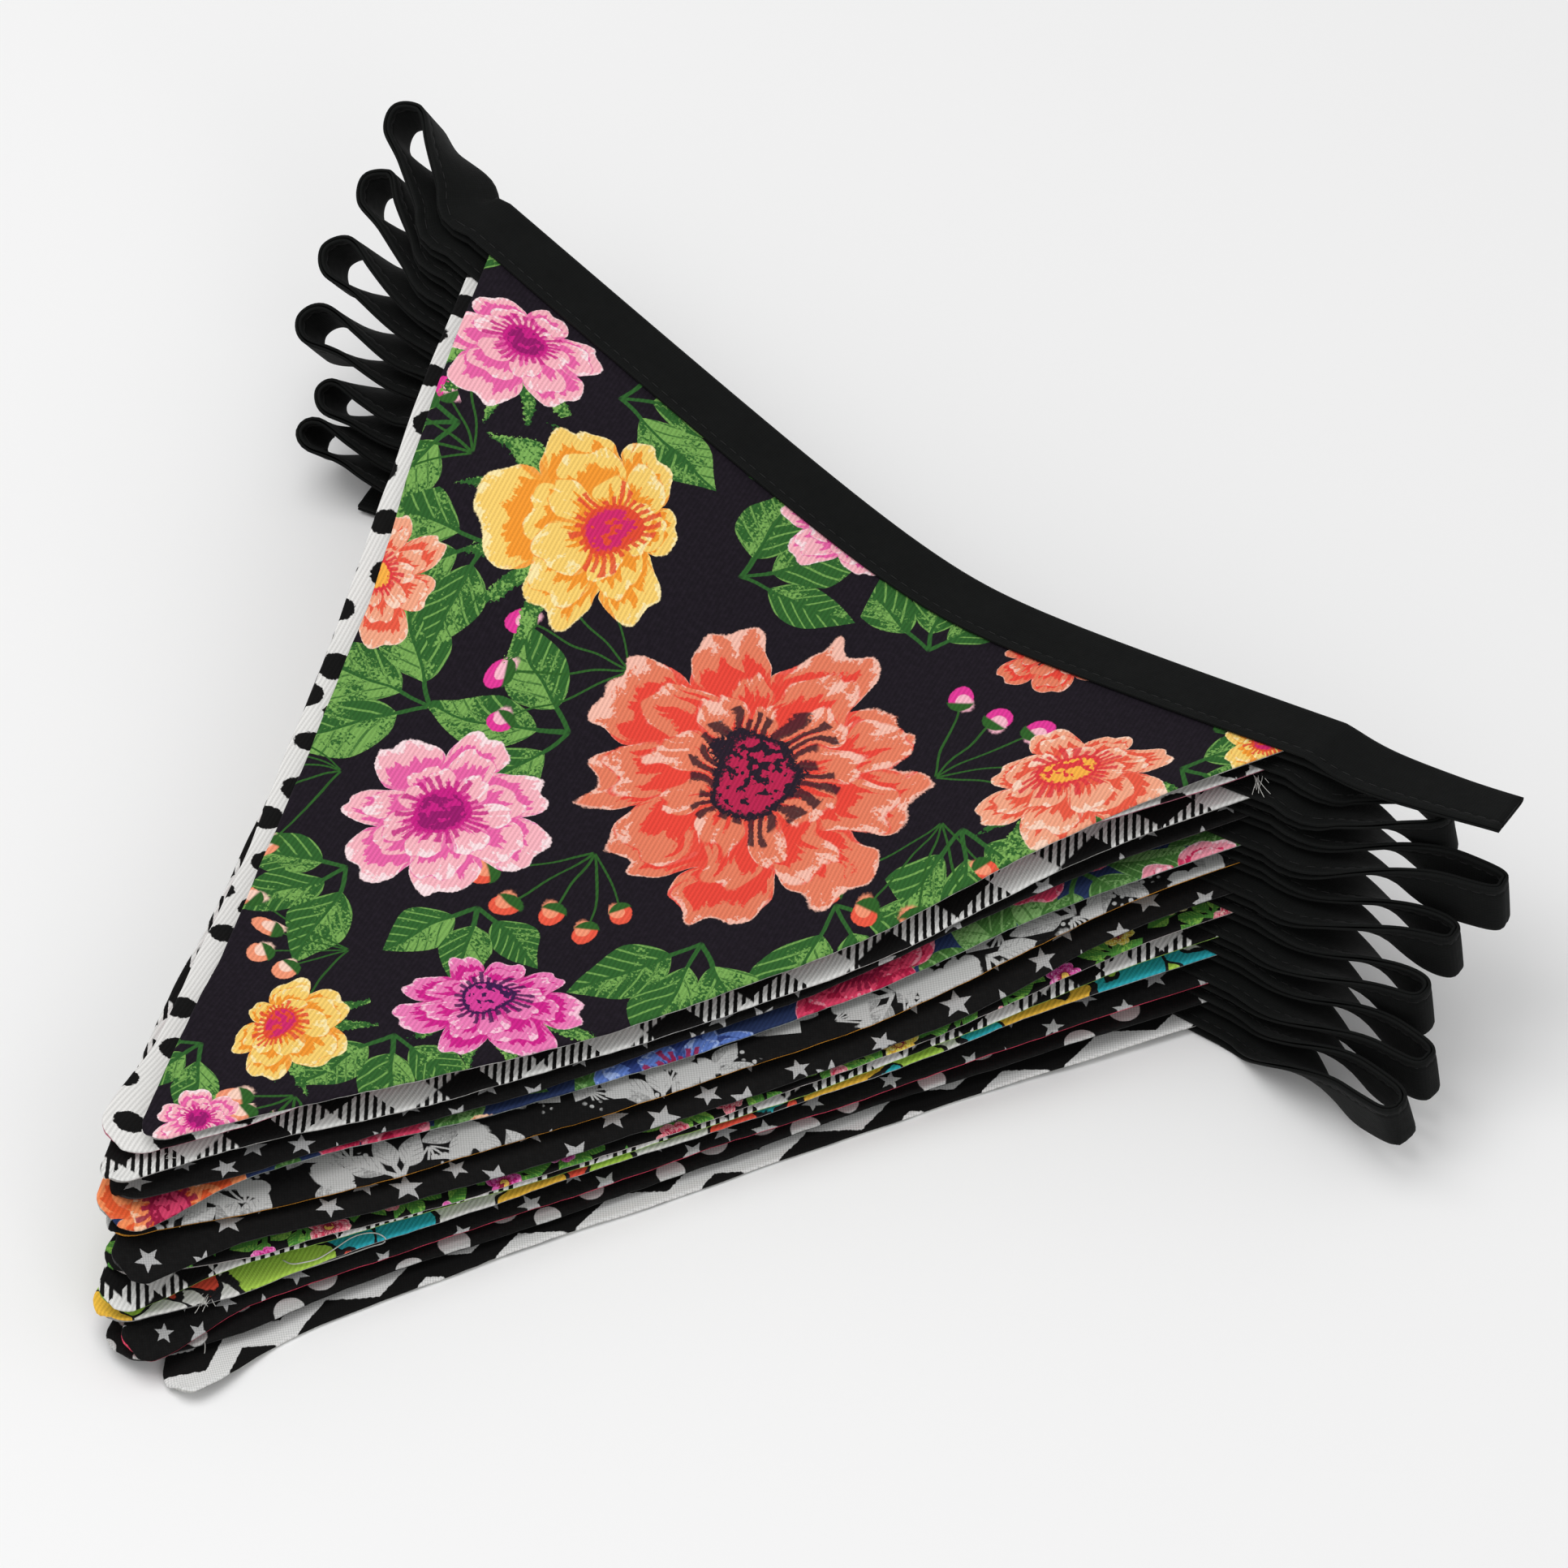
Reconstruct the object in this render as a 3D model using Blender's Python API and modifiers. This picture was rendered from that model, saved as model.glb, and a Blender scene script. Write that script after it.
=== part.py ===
"""Fabric bunting, folded up into a stack: thirteen triangular flags of double cloth, and one long folded tape
that binds their upper edges and turns back in an open loop between one flag and the next.

Metres, +Z up. X runs along the bound edges, +Y from the points of the flags towards the bound edges.
The lowest flag lies on the ground at Z = 0.
"""

import math

import bpy
import numpy as np

MM = 0.001

# The flags, all of one cut (mm)
FLAG_BASE = 211.0
FLAG_DEPTH = 213.0
POINT_WIDTH = 5.0
CLOTH = 1.0
COLUMNS = 10
BAND = 14.0

# Where a flag's long edges stand out from straight: from this depth and over this length (mm)
SIDE_START = 16.0
SIDE_SPREAD = 50.0

# The tape (mm)
TAPE_WALL = 0.55
TAPE_INSIDE = 11.6
FIT = 0.3
FREE_SLOT = 0.4
TAIL_LENGTH = 38.0
END_TAIL_LENGTH = 16.0
LOOP_STEPS = 22
END_TAIL_SIDE = -3.0
TAIL_SIDE = 8.0
TAIL_RISE = 1.0
TAIL_LEAN = 12.0
TAIL_STEPS = 6
CORNER_STEP = 5.0
OPENING_SHARES = (0.34, 0.64)
TURN_BACK = 0.45
SLOT_SHARE = 0.16
CURVE_STEPS = 400
FOLD_ROUND = 0.45

# The heights of the stack (mm)
GROUND_PITCH = 2.5
BOUND_PITCH = 3.2
CORNER_EXTRA = 1.05
CORNER_SPREAD = 120.0
SAG_CENTRE = 16.0
SAG_ROUND = 0.22
BOW = 8.0
TAPE_UNDER = 1.7
BOUND_LINE = 16.0
BOUND_SPREAD = 60.0
UNDER_SPREAD = 40.0
TIP_START = 120.0
TIP_SPREAD = 70.0
WAVE = 0.22
WAVE_ACROSS = 0.045
WAVE_ALONG = 0.038
WAVE_SKEW = 0.02

# Where the middle of the whole stack's box lies in X and Y from the top flag's own middle (mm)
BOX_MIDDLE = np.array((8.694, -112.035, 0.0))

# One row for each flag, from the top of the stack down (mm, degrees).
# right, forward: how far it lies from the top flag along X and Y. turn: about Z. tip_gap: room over its point.
PLACES = [
    dict(right=0.0, forward=0.0, turn=0.0, tip_gap=0.3),
    dict(right=-2.4, forward=-3.2, turn=0.3, tip_gap=0.8),
    dict(right=-1.6, forward=-6.2, turn=-0.3, tip_gap=0.2),
    dict(right=-0.8, forward=-7.6, turn=0.2, tip_gap=0.9),
    dict(right=1.2, forward=-10.6, turn=-0.2, tip_gap=0.3),
    dict(right=1.4, forward=-11.9, turn=0.3, tip_gap=0.8),
    dict(right=3.6, forward=-14.9, turn=-0.2, tip_gap=0.2),
    dict(right=4.6, forward=-16.2, turn=0.1, tip_gap=0.7),
    dict(right=4.6, forward=-19.2, turn=-0.1, tip_gap=0.3),
    dict(right=5.4, forward=-20.4, turn=0.2, tip_gap=0.6),
    dict(right=6.6, forward=-23.3, turn=-0.2, tip_gap=0.2),
    dict(right=7.6, forward=-24.5, turn=0.1, tip_gap=0.4),
    dict(right=8.2, forward=-27.4, turn=0.0, tip_gap=0.2),
]
# width, length: of the cut base and depth, as a share. slew: its point pushed along X.
# right_out, left_out: how far its long edges stand out halfway down.
SHAPES = [
    dict(width=1.0, length=1.000, slew=0.0, right_out=0.0, left_out=0.0),
    dict(width=1.0, length=1.000, slew=-2.0, right_out=-4.2, left_out=1.2),
    dict(width=0.995, length=1.010, slew=-1.5, right_out=0.4, left_out=0.6),
    dict(width=0.99, length=1.000, slew=2.5, right_out=-1.8, left_out=-0.8),
    dict(width=0.985, length=1.005, slew=-3.0, right_out=-1.2, left_out=0.4),
    dict(width=0.985, length=0.995, slew=1.0, right_out=2.6, left_out=-0.6),
    dict(width=0.98, length=1.005, slew=2.0, right_out=4.0, left_out=0.8),
    dict(width=0.98, length=0.990, slew=4.0, right_out=2.0, left_out=-0.4),
    dict(width=0.975, length=1.000, slew=0.0, right_out=1.0, left_out=0.5),
    dict(width=0.97, length=0.995, slew=3.0, right_out=-1.4, left_out=-0.8),
    dict(width=0.97, length=0.990, slew=5.0, right_out=-1.6, left_out=0.4),
    dict(width=0.965, length=0.985, slew=7.0, right_out=-2.4, left_out=-0.4),
    dict(width=0.96, length=0.965, slew=11.0, right_out=-1.0, left_out=0.6),
]
HUES = [
    (0.030, 0.022, 0.028),
    (0.80, 0.78, 0.75),
    (0.25, 0.24, 0.24),
    (0.035, 0.033, 0.036),
    (0.42, 0.10, 0.14),
    (0.05, 0.05, 0.05),
    (0.035, 0.033, 0.036),
    (0.07, 0.06, 0.06),
    (0.28, 0.27, 0.27),
    (0.10, 0.46, 0.47),
    (0.035, 0.033, 0.036),
    (0.62, 0.12, 0.16),
    (0.14, 0.14, 0.14),
]
FLAGS = [dict(**place, **shape, hue=hue) for place, shape, hue in zip(PLACES, SHAPES, HUES)]

# How the tape's bands leave the corners, at the left and at the right: where they start to turn up on edge and
# over what length (mm), and how far apart they are at a third and at two thirds of the reach, of the spread.
LEFT_BEND = dict(turn_start=4.2, turn_length=26.2, near=0.25, halfway=0.58)
RIGHT_BEND = dict(turn_start=5.1, turn_length=30.7, near=0.38, halfway=0.83)

# One row for each turn of the tape at the left corners, from the top down, and at the right ones.
# reach: how far its far end lies beyond its corners, side: towards +Y from them, drop: below them (mm).
# spread: between its two bands (mm). lean: how far its width is turned up on edge (degrees).
LEFT_LOOPS = [
    dict(reach=30.4, side=12.4, drop=-3.0, spread=7.6, lean=60.8),
    dict(reach=31.1, side=8.6, drop=0.6, spread=8.0, lean=59.1),
    dict(reach=33.0, side=-0.1, drop=0.1, spread=8.0, lean=55.5),
    dict(reach=33.6, side=-6.1, drop=1.3, spread=7.3, lean=56.1),
    dict(reach=26.2, side=-6.1, drop=2.8, spread=6.0, lean=51.7),
    dict(reach=26.4, side=-10.0, drop=-2.5, spread=5.2, lean=51.8),
]
RIGHT_LOOPS = [
    dict(reach=29.0, side=9.5, drop=1.5, spread=5.3, lean=84.3),
    dict(reach=42.5, side=12.0, drop=0.2, spread=4.5, lean=84.5),
    dict(reach=37.0, side=7.5, drop=0.9, spread=4.3, lean=80.9),
    dict(reach=36.5, side=2.5, drop=0.2, spread=5.1, lean=81.5),
    dict(reach=43.5, side=-1.1, drop=-2.0, spread=4.9, lean=80.1),
    dict(reach=45.0, side=-8.0, drop=-8.5, spread=5.4, lean=74.2),
]


def clear_scene():
    for item in list(bpy.data.objects):
        bpy.data.objects.remove(item, do_unlink=True)


def make_material(name, hue, roughness):
    material = bpy.data.materials.new(name)
    material.use_nodes = True
    shader = material.node_tree.nodes["Principled BSDF"]
    shader.inputs["Base Color"].default_value = (*hue, 1.0)
    shader.inputs["Roughness"].default_value = roughness
    shader.inputs["Metallic"].default_value = 0.0
    material.diffuse_color = (*hue, 1.0)
    return material


def smooth(value):
    value = min(max(value, 0.0), 1.0)
    return value * value * (3.0 - 2.0 * value)


def rise(x):
    """0 where a bound edge sags most, 1 at its corners."""
    half = FLAG_BASE / 2.0
    side = half - SAG_CENTRE if x > SAG_CENTRE else half + SAG_CENTRE
    away = (x - SAG_CENTRE) / side
    full = math.sqrt(1.0 + SAG_ROUND**2) - SAG_ROUND
    return (math.sqrt(away * away + SAG_ROUND**2) - SAG_ROUND) / full


def bowed(x):
    """How far a bound edge bows forward at x."""
    return -BOW * max(0.0, 1.0 - rise(x))


def to_world(flag, x, y):
    turn = math.radians(flag["turn"])
    wide = x * math.cos(turn) - y * math.sin(turn)
    deep = x * math.sin(turn) + y * math.cos(turn)
    return wide + flag["right"], deep + flag["forward"]


def to_flag(flag, x, y):
    turn = -math.radians(flag["turn"])
    x = x - flag["right"]
    y = y - flag["forward"]
    wide = x * math.cos(turn) - y * math.sin(turn)
    deep = x * math.sin(turn) + y * math.cos(turn)
    return wide, deep - bowed(wide)


def pitch(index, x, y):
    """The height that one flag of the stack adds under those above it."""
    flag = FLAGS[index]
    wide, deep = to_flag(flag, x, y)
    bound = smooth((deep + BOUND_LINE + BOUND_SPREAD) / BOUND_SPREAD)
    corner = smooth((deep + BOUND_LINE + CORNER_SPREAD) / CORNER_SPREAD)
    inner = 1.0 - corner
    height = GROUND_PITCH + (BOUND_PITCH - GROUND_PITCH) * bound
    height += CORNER_EXTRA * corner * rise(wide)
    height += flag["tip_gap"] * smooth((-deep - TIP_START) / TIP_SPREAD)
    wave = math.sin(WAVE_ACROSS * wide + 0.9 * index)
    wave += math.sin(WAVE_ALONG * deep + 1.7 * index + WAVE_SKEW * wide)
    height += WAVE * inner * wave
    return height


def level(index, x, y):
    """The height of the middle of a flag's cloth."""
    wide, deep = to_flag(FLAGS[-1], x, y)
    under = smooth((deep + BOUND_LINE + UNDER_SPREAD) / UNDER_SPREAD)
    height = CLOTH / 2.0 + (TAPE_UNDER - CLOTH / 2.0) * under
    for lower in range(index + 1, len(FLAGS)):
        height += pitch(lower, x, y)
    return height


def sheet_point(index, x, y):
    """A point in the middle of a flag's cloth, from its place in the flag's own plan."""
    wide, forward = to_world(FLAGS[index], x, y)
    return np.array((wide, forward, level(index, wide, forward)))


def cloth_point(index, along, deep):
    """A point in the middle of a flag's cloth: along its bound edge from -1 to 1, and deep below that edge."""
    flag = FLAGS[index]
    depth = FLAG_DEPTH * flag["length"]
    share = deep / depth
    base = FLAG_BASE * flag["width"]
    half = (base * (1.0 - share) + POINT_WIDTH * share) / 2.0
    x = along * half + flag["slew"] * max(share, 0.0) ** 2
    out = (1.0 + along) * flag["right_out"] - (1.0 - along) * flag["left_out"]
    x += out / 2.0 * smooth((deep - SIDE_START) / SIDE_SPREAD) * smooth((depth - deep) / SIDE_SPREAD)
    y = -deep + bowed(along * base / 2.0) * (1.0 - share) ** 2
    return sheet_point(index, x, y)


def build_flag(index, material):
    """A flag: a band of even cells along its bound edge, then rows that lose a cell each down to the point."""
    depth = FLAG_DEPTH * FLAGS[index]["length"]
    steps = [2.0 * i / COLUMNS - 1.0 for i in range(COLUMNS + 1)]
    rows = [[cloth_point(index, step, 0.0) for step in steps]]
    for row in range(COLUMNS):
        deep = BAND + (depth - BAND) * row / (COLUMNS - 1)
        cells = COLUMNS - row
        rows.append([cloth_point(index, 2.0 * i / cells - 1.0, deep) for i in range(cells + 1)])
    starts = [0]
    for row in rows[:-1]:
        starts.append(starts[-1] + len(row))
    faces = []
    for i in range(COLUMNS):
        faces.append((i, starts[1] + i, starts[1] + i + 1, i + 1))
    for row in range(1, len(rows) - 1):
        upper = starts[row]
        lower = starts[row + 1]
        count = len(rows[row + 1])
        for i in range(count):
            faces.append((upper + i, lower + i, upper + i + 1))
            if i + 1 < count:
                faces.append((upper + i + 1, lower + i, lower + i + 1))
    points = [tuple((point - BOX_MIDDLE) * MM) for row in rows for point in row]
    name = f"flag_{index + 1:02d}"
    mesh = bpy.data.meshes.new(name)
    mesh.from_pydata(points, [], faces)
    flag = bpy.data.objects.new(name, mesh)
    mesh.materials.append(material)
    solid = flag.modifiers.new("Cloth", "SOLIDIFY")
    solid.thickness = CLOTH * MM
    solid.offset = 0.0
    solid.use_even_offset = True
    return flag


def unit(vector):
    return vector / np.linalg.norm(vector)


def bound_sections(index, leftwards):
    """Where the tape is folded over a flag: (edge point, direction of its width, inside half height)."""
    order = [2.0 * i / COLUMNS - 1.0 for i in range(COLUMNS + 1)]
    if leftwards:
        order.reverse()
    sections = []
    for along in order:
        x = along * FLAG_BASE * FLAGS[index]["width"] / 2.0
        edge = sheet_point(index, x, bowed(x))
        inside = sheet_point(index, x, bowed(x) - BAND)
        sections.append((edge, unit(inside - edge), CLOTH / 2.0 + FIT))
    return sections


def middle(section):
    return section[0] + section[1] * TAPE_INSIDE / 2.0


def curve_point(knots, share):
    """A point of the smooth curve through the knots, share from 0 to 1."""
    count = len(knots) - 1
    place = min(share * count, count - 1e-9)
    first = int(place)
    u = place - first
    before = knots[first - 1] if first > 0 else 2.0 * knots[0] - knots[1]
    after = knots[first + 2] if first + 2 <= count else 2.0 * knots[count] - knots[count - 1]
    start = knots[first]
    end = knots[first + 1]
    curve = 2.0 * start + (end - before) * u
    curve = curve + (2.0 * before - 5.0 * start + 4.0 * end - after) * u * u
    curve = curve + (3.0 * start - before - 3.0 * end + after) * u * u * u
    return 0.5 * curve


def even_points(knots, steps):
    """Points evenly spaced along the curve through the knots."""
    fine = [curve_point(knots, i / CURVE_STEPS) for i in range(CURVE_STEPS + 1)]
    lengths = [0.0]
    for i in range(CURVE_STEPS):
        lengths.append(lengths[-1] + np.linalg.norm(fine[i + 1] - fine[i]))
    result = []
    for step in range(steps + 1):
        wanted = lengths[-1] * step / steps
        place = int(np.searchsorted(lengths, wanted, side="right")) - 1
        place = min(max(place, 0), CURVE_STEPS - 1)
        span = lengths[place + 1] - lengths[place]
        u = (wanted - lengths[place]) / span
        result.append(fine[place] * (1.0 - u) + fine[place + 1] * u)
    return result


def ribbon_sections(points, widths, start_slot, end_slot):
    """Free tape along the middle points, its width turned as the widths say and square to its run."""
    sections = []
    count = len(points) - 1
    for i in range(1, count):
        run = unit(points[i + 1] - points[i - 1])
        width = widths[i] - run * np.dot(widths[i], run)
        width = unit(width)
        share = i / count
        slot = FREE_SLOT / 2.0
        slot += (start_slot - slot) * (1.0 - smooth(share / SLOT_SHARE))
        slot += (end_slot - slot) * (1.0 - smooth((1.0 - share) / SLOT_SHARE))
        sections.append((points[i] - width * TAPE_INSIDE / 2.0, width, slot))
    return sections


def leaned(flat, lean):
    """The width's direction: flat to the front at 0 degrees, its open edges raised with the lean."""
    angle = math.radians(lean)
    return flat * math.cos(angle) + np.array((0.0, 0.0, 1.0)) * math.sin(angle)


def loop_sections(start, end, loop, bend, outward):
    """A turn of the tape beyond the corners of two flags: out, round and back one flag lower."""
    first = middle(start)
    last = middle(end)
    flat = unit((start[1] + end[1]) * np.array((1.0, 1.0, 0.0)))
    top = leaned(flat, loop["lean"])
    centre = (first + last) / 2.0
    far = centre + np.array((outward * loop["reach"], loop["side"], -loop["drop"]))
    heading = unit(far - centre)
    heading = unit(heading - top * np.dot(heading, top))
    across = unit(np.cross(top, heading))
    if np.dot(across, first - last) < 0.0:
        across = -across
    half = across * loop["spread"] / 2.0
    out = np.array((outward, 0.0, 0.0))
    rest = (first - last) / 2.0
    opening = list(zip(OPENING_SHARES, (bend["near"], bend["halfway"])))
    knots = [first, first + out * CORNER_STEP]
    for share, open_share in opening:
        knots.append(centre * (1.0 - share) + far * share + half * open_share + rest * (1.0 - share))
    back = heading * loop["spread"] * TURN_BACK
    knots.append(far - back + half)
    knots.append(far)
    knots.append(far - back - half)
    for share, open_share in reversed(opening):
        knots.append(centre * (1.0 - share) + far * share - half * open_share - rest * (1.0 - share))
    knots += [last + out * CORNER_STEP, last]
    points = even_points(knots, LOOP_STEPS)
    length = LOOP_STEPS * np.linalg.norm(points[1] - points[0])
    widths = []
    for i in range(LOOP_STEPS + 1):
        gone = length * i / LOOP_STEPS
        turn = smooth((gone - bend["turn_start"]) / bend["turn_length"])
        turn *= smooth((length - gone - bend["turn_start"]) / bend["turn_length"])
        widths.append(leaned(flat, loop["lean"] * turn))
    return ribbon_sections(points, widths, start[2], end[2])


def tail_sections(start, outward, length, side, rise_by, lean):
    """A free end of the tape beyond a corner, from the corner to the cut."""
    first = middle(start)
    flat = unit(start[1] * np.array((1.0, 1.0, 0.0)))
    knots = [
        first,
        first + np.array((outward * length * 0.3, side * 0.1, rise_by * 0.1)),
        first + np.array((outward * length * 0.65, side * 0.5, rise_by * 0.5)),
        first + np.array((outward * length, side, rise_by)),
    ]
    points = even_points(knots, TAIL_STEPS)
    points.append(2.0 * points[-1] - points[-2])
    widths = [leaned(flat, lean * smooth(i / TAIL_STEPS)) for i in range(TAIL_STEPS + 2)]
    return ribbon_sections(points, widths, start[2], FREE_SLOT / 2.0)


def tape_sections():
    """The whole tape, from its cut end at the top right to the other one at the lowest flag's left corner."""
    runs = [bound_sections(i, leftwards=i % 2 == 0) for i in range(len(FLAGS))]
    tail = tail_sections(runs[0][0], 1.0, TAIL_LENGTH, TAIL_SIDE, TAIL_RISE, TAIL_LEAN)
    sections = list(reversed(tail))
    for i, run in enumerate(runs):
        sections += run
        if i + 1 == len(runs):
            break
        end = runs[i + 1][0]
        if i % 2 == 0:
            sections += loop_sections(run[-1], end, LEFT_LOOPS[i // 2], LEFT_BEND, -1.0)
        else:
            sections += loop_sections(run[-1], end, RIGHT_LOOPS[i // 2], RIGHT_BEND, 1.0)
    sections += tail_sections(runs[-1][-1], -1.0, END_TAIL_LENGTH, END_TAIL_SIDE, 0.0, 0.0)
    return sections


def section_outline(slot):
    """The folded tape's section: (distance from the bound edge, height) round both walls and the fold."""
    outer = slot + TAPE_WALL
    fold = -FIT - TAPE_WALL
    return [
        (TAPE_INSIDE, outer),
        (-FIT, outer),
        (fold, outer * FOLD_ROUND),
        (fold, -outer * FOLD_ROUND),
        (-FIT, -outer),
        (TAPE_INSIDE, -outer),
        (TAPE_INSIDE, -slot),
        (-FIT, -slot),
        (-FIT, slot),
        (TAPE_INSIDE, slot),
    ]


def build_tape(material):
    sections = tape_sections()
    points = []
    faces = []
    ring = len(section_outline(FREE_SLOT))
    for i, (edge, width, slot) in enumerate(sections):
        before = sections[max(i - 1, 0)]
        after = sections[min(i + 1, len(sections) - 1)]
        run = unit(middle(after) - middle(before))
        up = unit(np.cross(width, run))
        for across, height in section_outline(slot):
            points.append(tuple((edge + width * across + up * height - BOX_MIDDLE) * MM))
        if i > 0:
            base = (i - 1) * ring
            for open_edge, fold_edge in ((0, 1), (5, 4), (6, 7), (9, 8)):
                near = (base + open_edge, base + fold_edge)
                next_ones = (base + ring + open_edge, base + ring + fold_edge)
                halves = [(near[0], next_ones[0], next_ones[1]), (near[0], next_ones[1], near[1])]
                if open_edge > fold_edge:
                    halves = [tuple(reversed(half)) for half in halves]
                faces += halves
            for j in (1, 2, 3, 5, 7, 9):
                k = (j + 1) % ring
                faces.append((base + j, base + ring + j, base + ring + k, base + k))
    last = (len(sections) - 1) * ring
    for base, flip in ((0, False), (last, True)):
        walls = [(0, 1, 8, 9), (1, 2, 3, 4, 7, 8), (4, 5, 6, 7)]
        for wall in walls:
            face = tuple(base + j for j in wall)
            faces.append(tuple(reversed(face)) if flip else face)
    mesh = bpy.data.meshes.new("tape")
    mesh.from_pydata(points, [], faces)
    mesh.materials.append(material)
    return bpy.data.objects.new("tape", mesh)


def main():
    clear_scene()
    collection = bpy.data.collections.new("fabric_bunting")
    bpy.context.scene.collection.children.link(collection)
    for index, row in enumerate(FLAGS):
        material = make_material(f"flag_{index + 1:02d}_cotton", row["hue"], 0.85)
        collection.objects.link(build_flag(index, material))
    tape = build_tape(make_material("tape_cotton", (0.012, 0.013, 0.013), 0.8))
    collection.objects.link(tape)


main()
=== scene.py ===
import math
import bpy
import numpy as np
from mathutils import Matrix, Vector


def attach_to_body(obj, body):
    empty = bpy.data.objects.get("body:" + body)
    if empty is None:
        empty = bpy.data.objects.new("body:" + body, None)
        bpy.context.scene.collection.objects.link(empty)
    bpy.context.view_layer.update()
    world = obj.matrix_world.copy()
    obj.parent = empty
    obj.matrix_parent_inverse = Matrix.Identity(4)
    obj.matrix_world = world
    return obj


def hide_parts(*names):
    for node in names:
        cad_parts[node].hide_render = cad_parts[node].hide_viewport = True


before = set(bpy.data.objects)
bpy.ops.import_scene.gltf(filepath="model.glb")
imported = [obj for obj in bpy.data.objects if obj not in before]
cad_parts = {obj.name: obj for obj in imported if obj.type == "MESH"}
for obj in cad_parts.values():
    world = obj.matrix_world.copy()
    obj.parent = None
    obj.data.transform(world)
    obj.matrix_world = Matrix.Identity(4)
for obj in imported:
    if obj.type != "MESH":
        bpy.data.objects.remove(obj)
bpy.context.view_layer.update()  # so that the parts' new places take effect
mm = 0.001
up = np.array((0.0, 0.0, 1.0))
print("frame loaded:", len(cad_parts), "nodes")

cameraSettings = {
    "azimuth": 41.642, "elevation": 45.594, "distance": 2.618, "right": 0.04234, "high": 0.04002,
    "lens": 320.0, "sensor": 36.0, "farthest": 20.0,
}


def addObject(name, data):
    thing = bpy.data.objects.new(name, data)
    bpy.context.scene.collection.objects.link(thing)
    return thing


def aim(thing, back):  # turns a camera or a lamp so that back is behind it
    thing.rotation_mode = "QUATERNION"
    thing.rotation_quaternion = (-back).to_track_quat("-Z", "Y")


def makeCamera(settings):
    around = math.radians(settings["azimuth"])
    above = math.radians(settings["elevation"])
    right = Vector((math.cos(around), math.sin(around), 0.0))
    back = Vector((math.sin(around) * math.cos(above), -math.cos(around) * math.cos(above), math.sin(above)))
    high = back.cross(right)
    data = bpy.data.cameras.new("camera")
    data.lens = settings["lens"]
    data.sensor_width = settings["sensor"]
    data.clip_end = settings["farthest"]
    camera = addObject("camera", data)
    camera.location = right * settings["right"] + high * settings["high"] + back * settings["distance"]
    aim(camera, back)
    bpy.context.scene.camera = camera


makeCamera(cameraSettings)

stack = {  # mm, from the middle of the top flag's bound edge
    "base": 211.0, "depth": 213.0, "point": 5.0, "cloth": 1.0, "band": 14.0,
    "groundPitch": 2.5, "boundPitch": 3.2, "boundAt": 16.0, "boundSpread": 60.0,
    "cornerExtra": 1.05, "cornerSpread": 120.0, "sagAt": 16.0, "sagRound": 0.22, "bow": 8.0,
    "tapeUnder": 1.7, "underSpread": 40.0, "tipAt": 120.0, "tipSpread": 70.0,
    "wave": 0.22, "waveAcross": (0.045, 0.9), "waveAlong": (0.038, 1.7), "waveSkew": 0.02,
    "boxMiddle": (8.694, -112.035, 0.0),
}
flagRows = {  # one number for each flag, from the top one down
    "right": (0.0, -2.4, -1.6, -0.8, 1.2, 1.4, 3.6, 4.6, 4.6, 5.4, 6.6, 7.6, 8.2),
    "forward": (0.0, -3.2, -6.2, -7.6, -10.6, -11.9, -14.9, -16.2, -19.2, -20.4, -23.3, -24.5, -27.4),
    "turn": (0.0, 0.3, -0.3, 0.2, -0.2, 0.3, -0.2, 0.1, -0.1, 0.2, -0.2, 0.1, 0.0),
    "width": (1.0, 1.0, 0.995, 0.99, 0.985, 0.985, 0.98, 0.98, 0.975, 0.97, 0.97, 0.965, 0.96),
    "slew": (0.0, -2.0, -1.5, 2.5, -3.0, 1.0, 2.0, 4.0, 0.0, 3.0, 5.0, 7.0, 11.0),
    "length": (1.0, 1.0, 1.01, 1.0, 1.005, 0.995, 1.005, 0.99, 1.0, 0.995, 0.99, 0.985, 0.965),
    "tipGap": (0.3, 0.8, 0.2, 0.9, 0.3, 0.8, 0.2, 0.7, 0.3, 0.6, 0.2, 0.4, 0.2),
    "rightOut": (0.0, -4.2, 0.4, -1.8, -1.2, 2.6, 4.0, 2.0, 1.0, -1.4, -1.6, -2.4, -1.0),
    "leftOut": (0.0, 1.2, 0.6, -0.8, 0.4, -0.6, 0.8, -0.4, 0.5, -0.8, 0.4, -0.4, 0.6),
}
flagCount = 13


def smooth(value):
    value = np.clip(value, 0.0, 1.0)
    return value * value * (3.0 - 2.0 * value)


def unit(vector):
    return vector / np.linalg.norm(vector, axis=-1, keepdims=True)


def rise(x):  # 0 where a bound edge sags most, 1 at its corners
    half = stack["base"] / 2.0
    side = np.where(x > stack["sagAt"], half - stack["sagAt"], half + stack["sagAt"])
    away = (x - stack["sagAt"]) / side
    turn = stack["sagRound"]
    return (np.sqrt(away * away + turn**2) - turn) / (math.sqrt(1.0 + turn**2) - turn)


def bowed(x):
    return -stack["bow"] * np.maximum(0.0, 1.0 - rise(x))


def swung(x, y, degrees):
    turn = math.radians(degrees)
    return x * math.cos(turn) - y * math.sin(turn), x * math.sin(turn) + y * math.cos(turn)


def toStack(index, x, y):  # from a flag's own place to the stack's
    wide, deep = swung(x, y, flagRows["turn"][index])
    return wide + flagRows["right"][index], deep + flagRows["forward"][index]


def toFlag(index, x, y):  # and back, with the depth taken from the bowed edge
    wide, deep = swung(x - flagRows["right"][index], y - flagRows["forward"][index], -flagRows["turn"][index])
    return wide, deep - bowed(wide)


def nearBound(deep, spread):  # 0 far from a bound edge, 1 at the tape
    return smooth((deep + stack["boundAt"] + spread) / spread)


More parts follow.
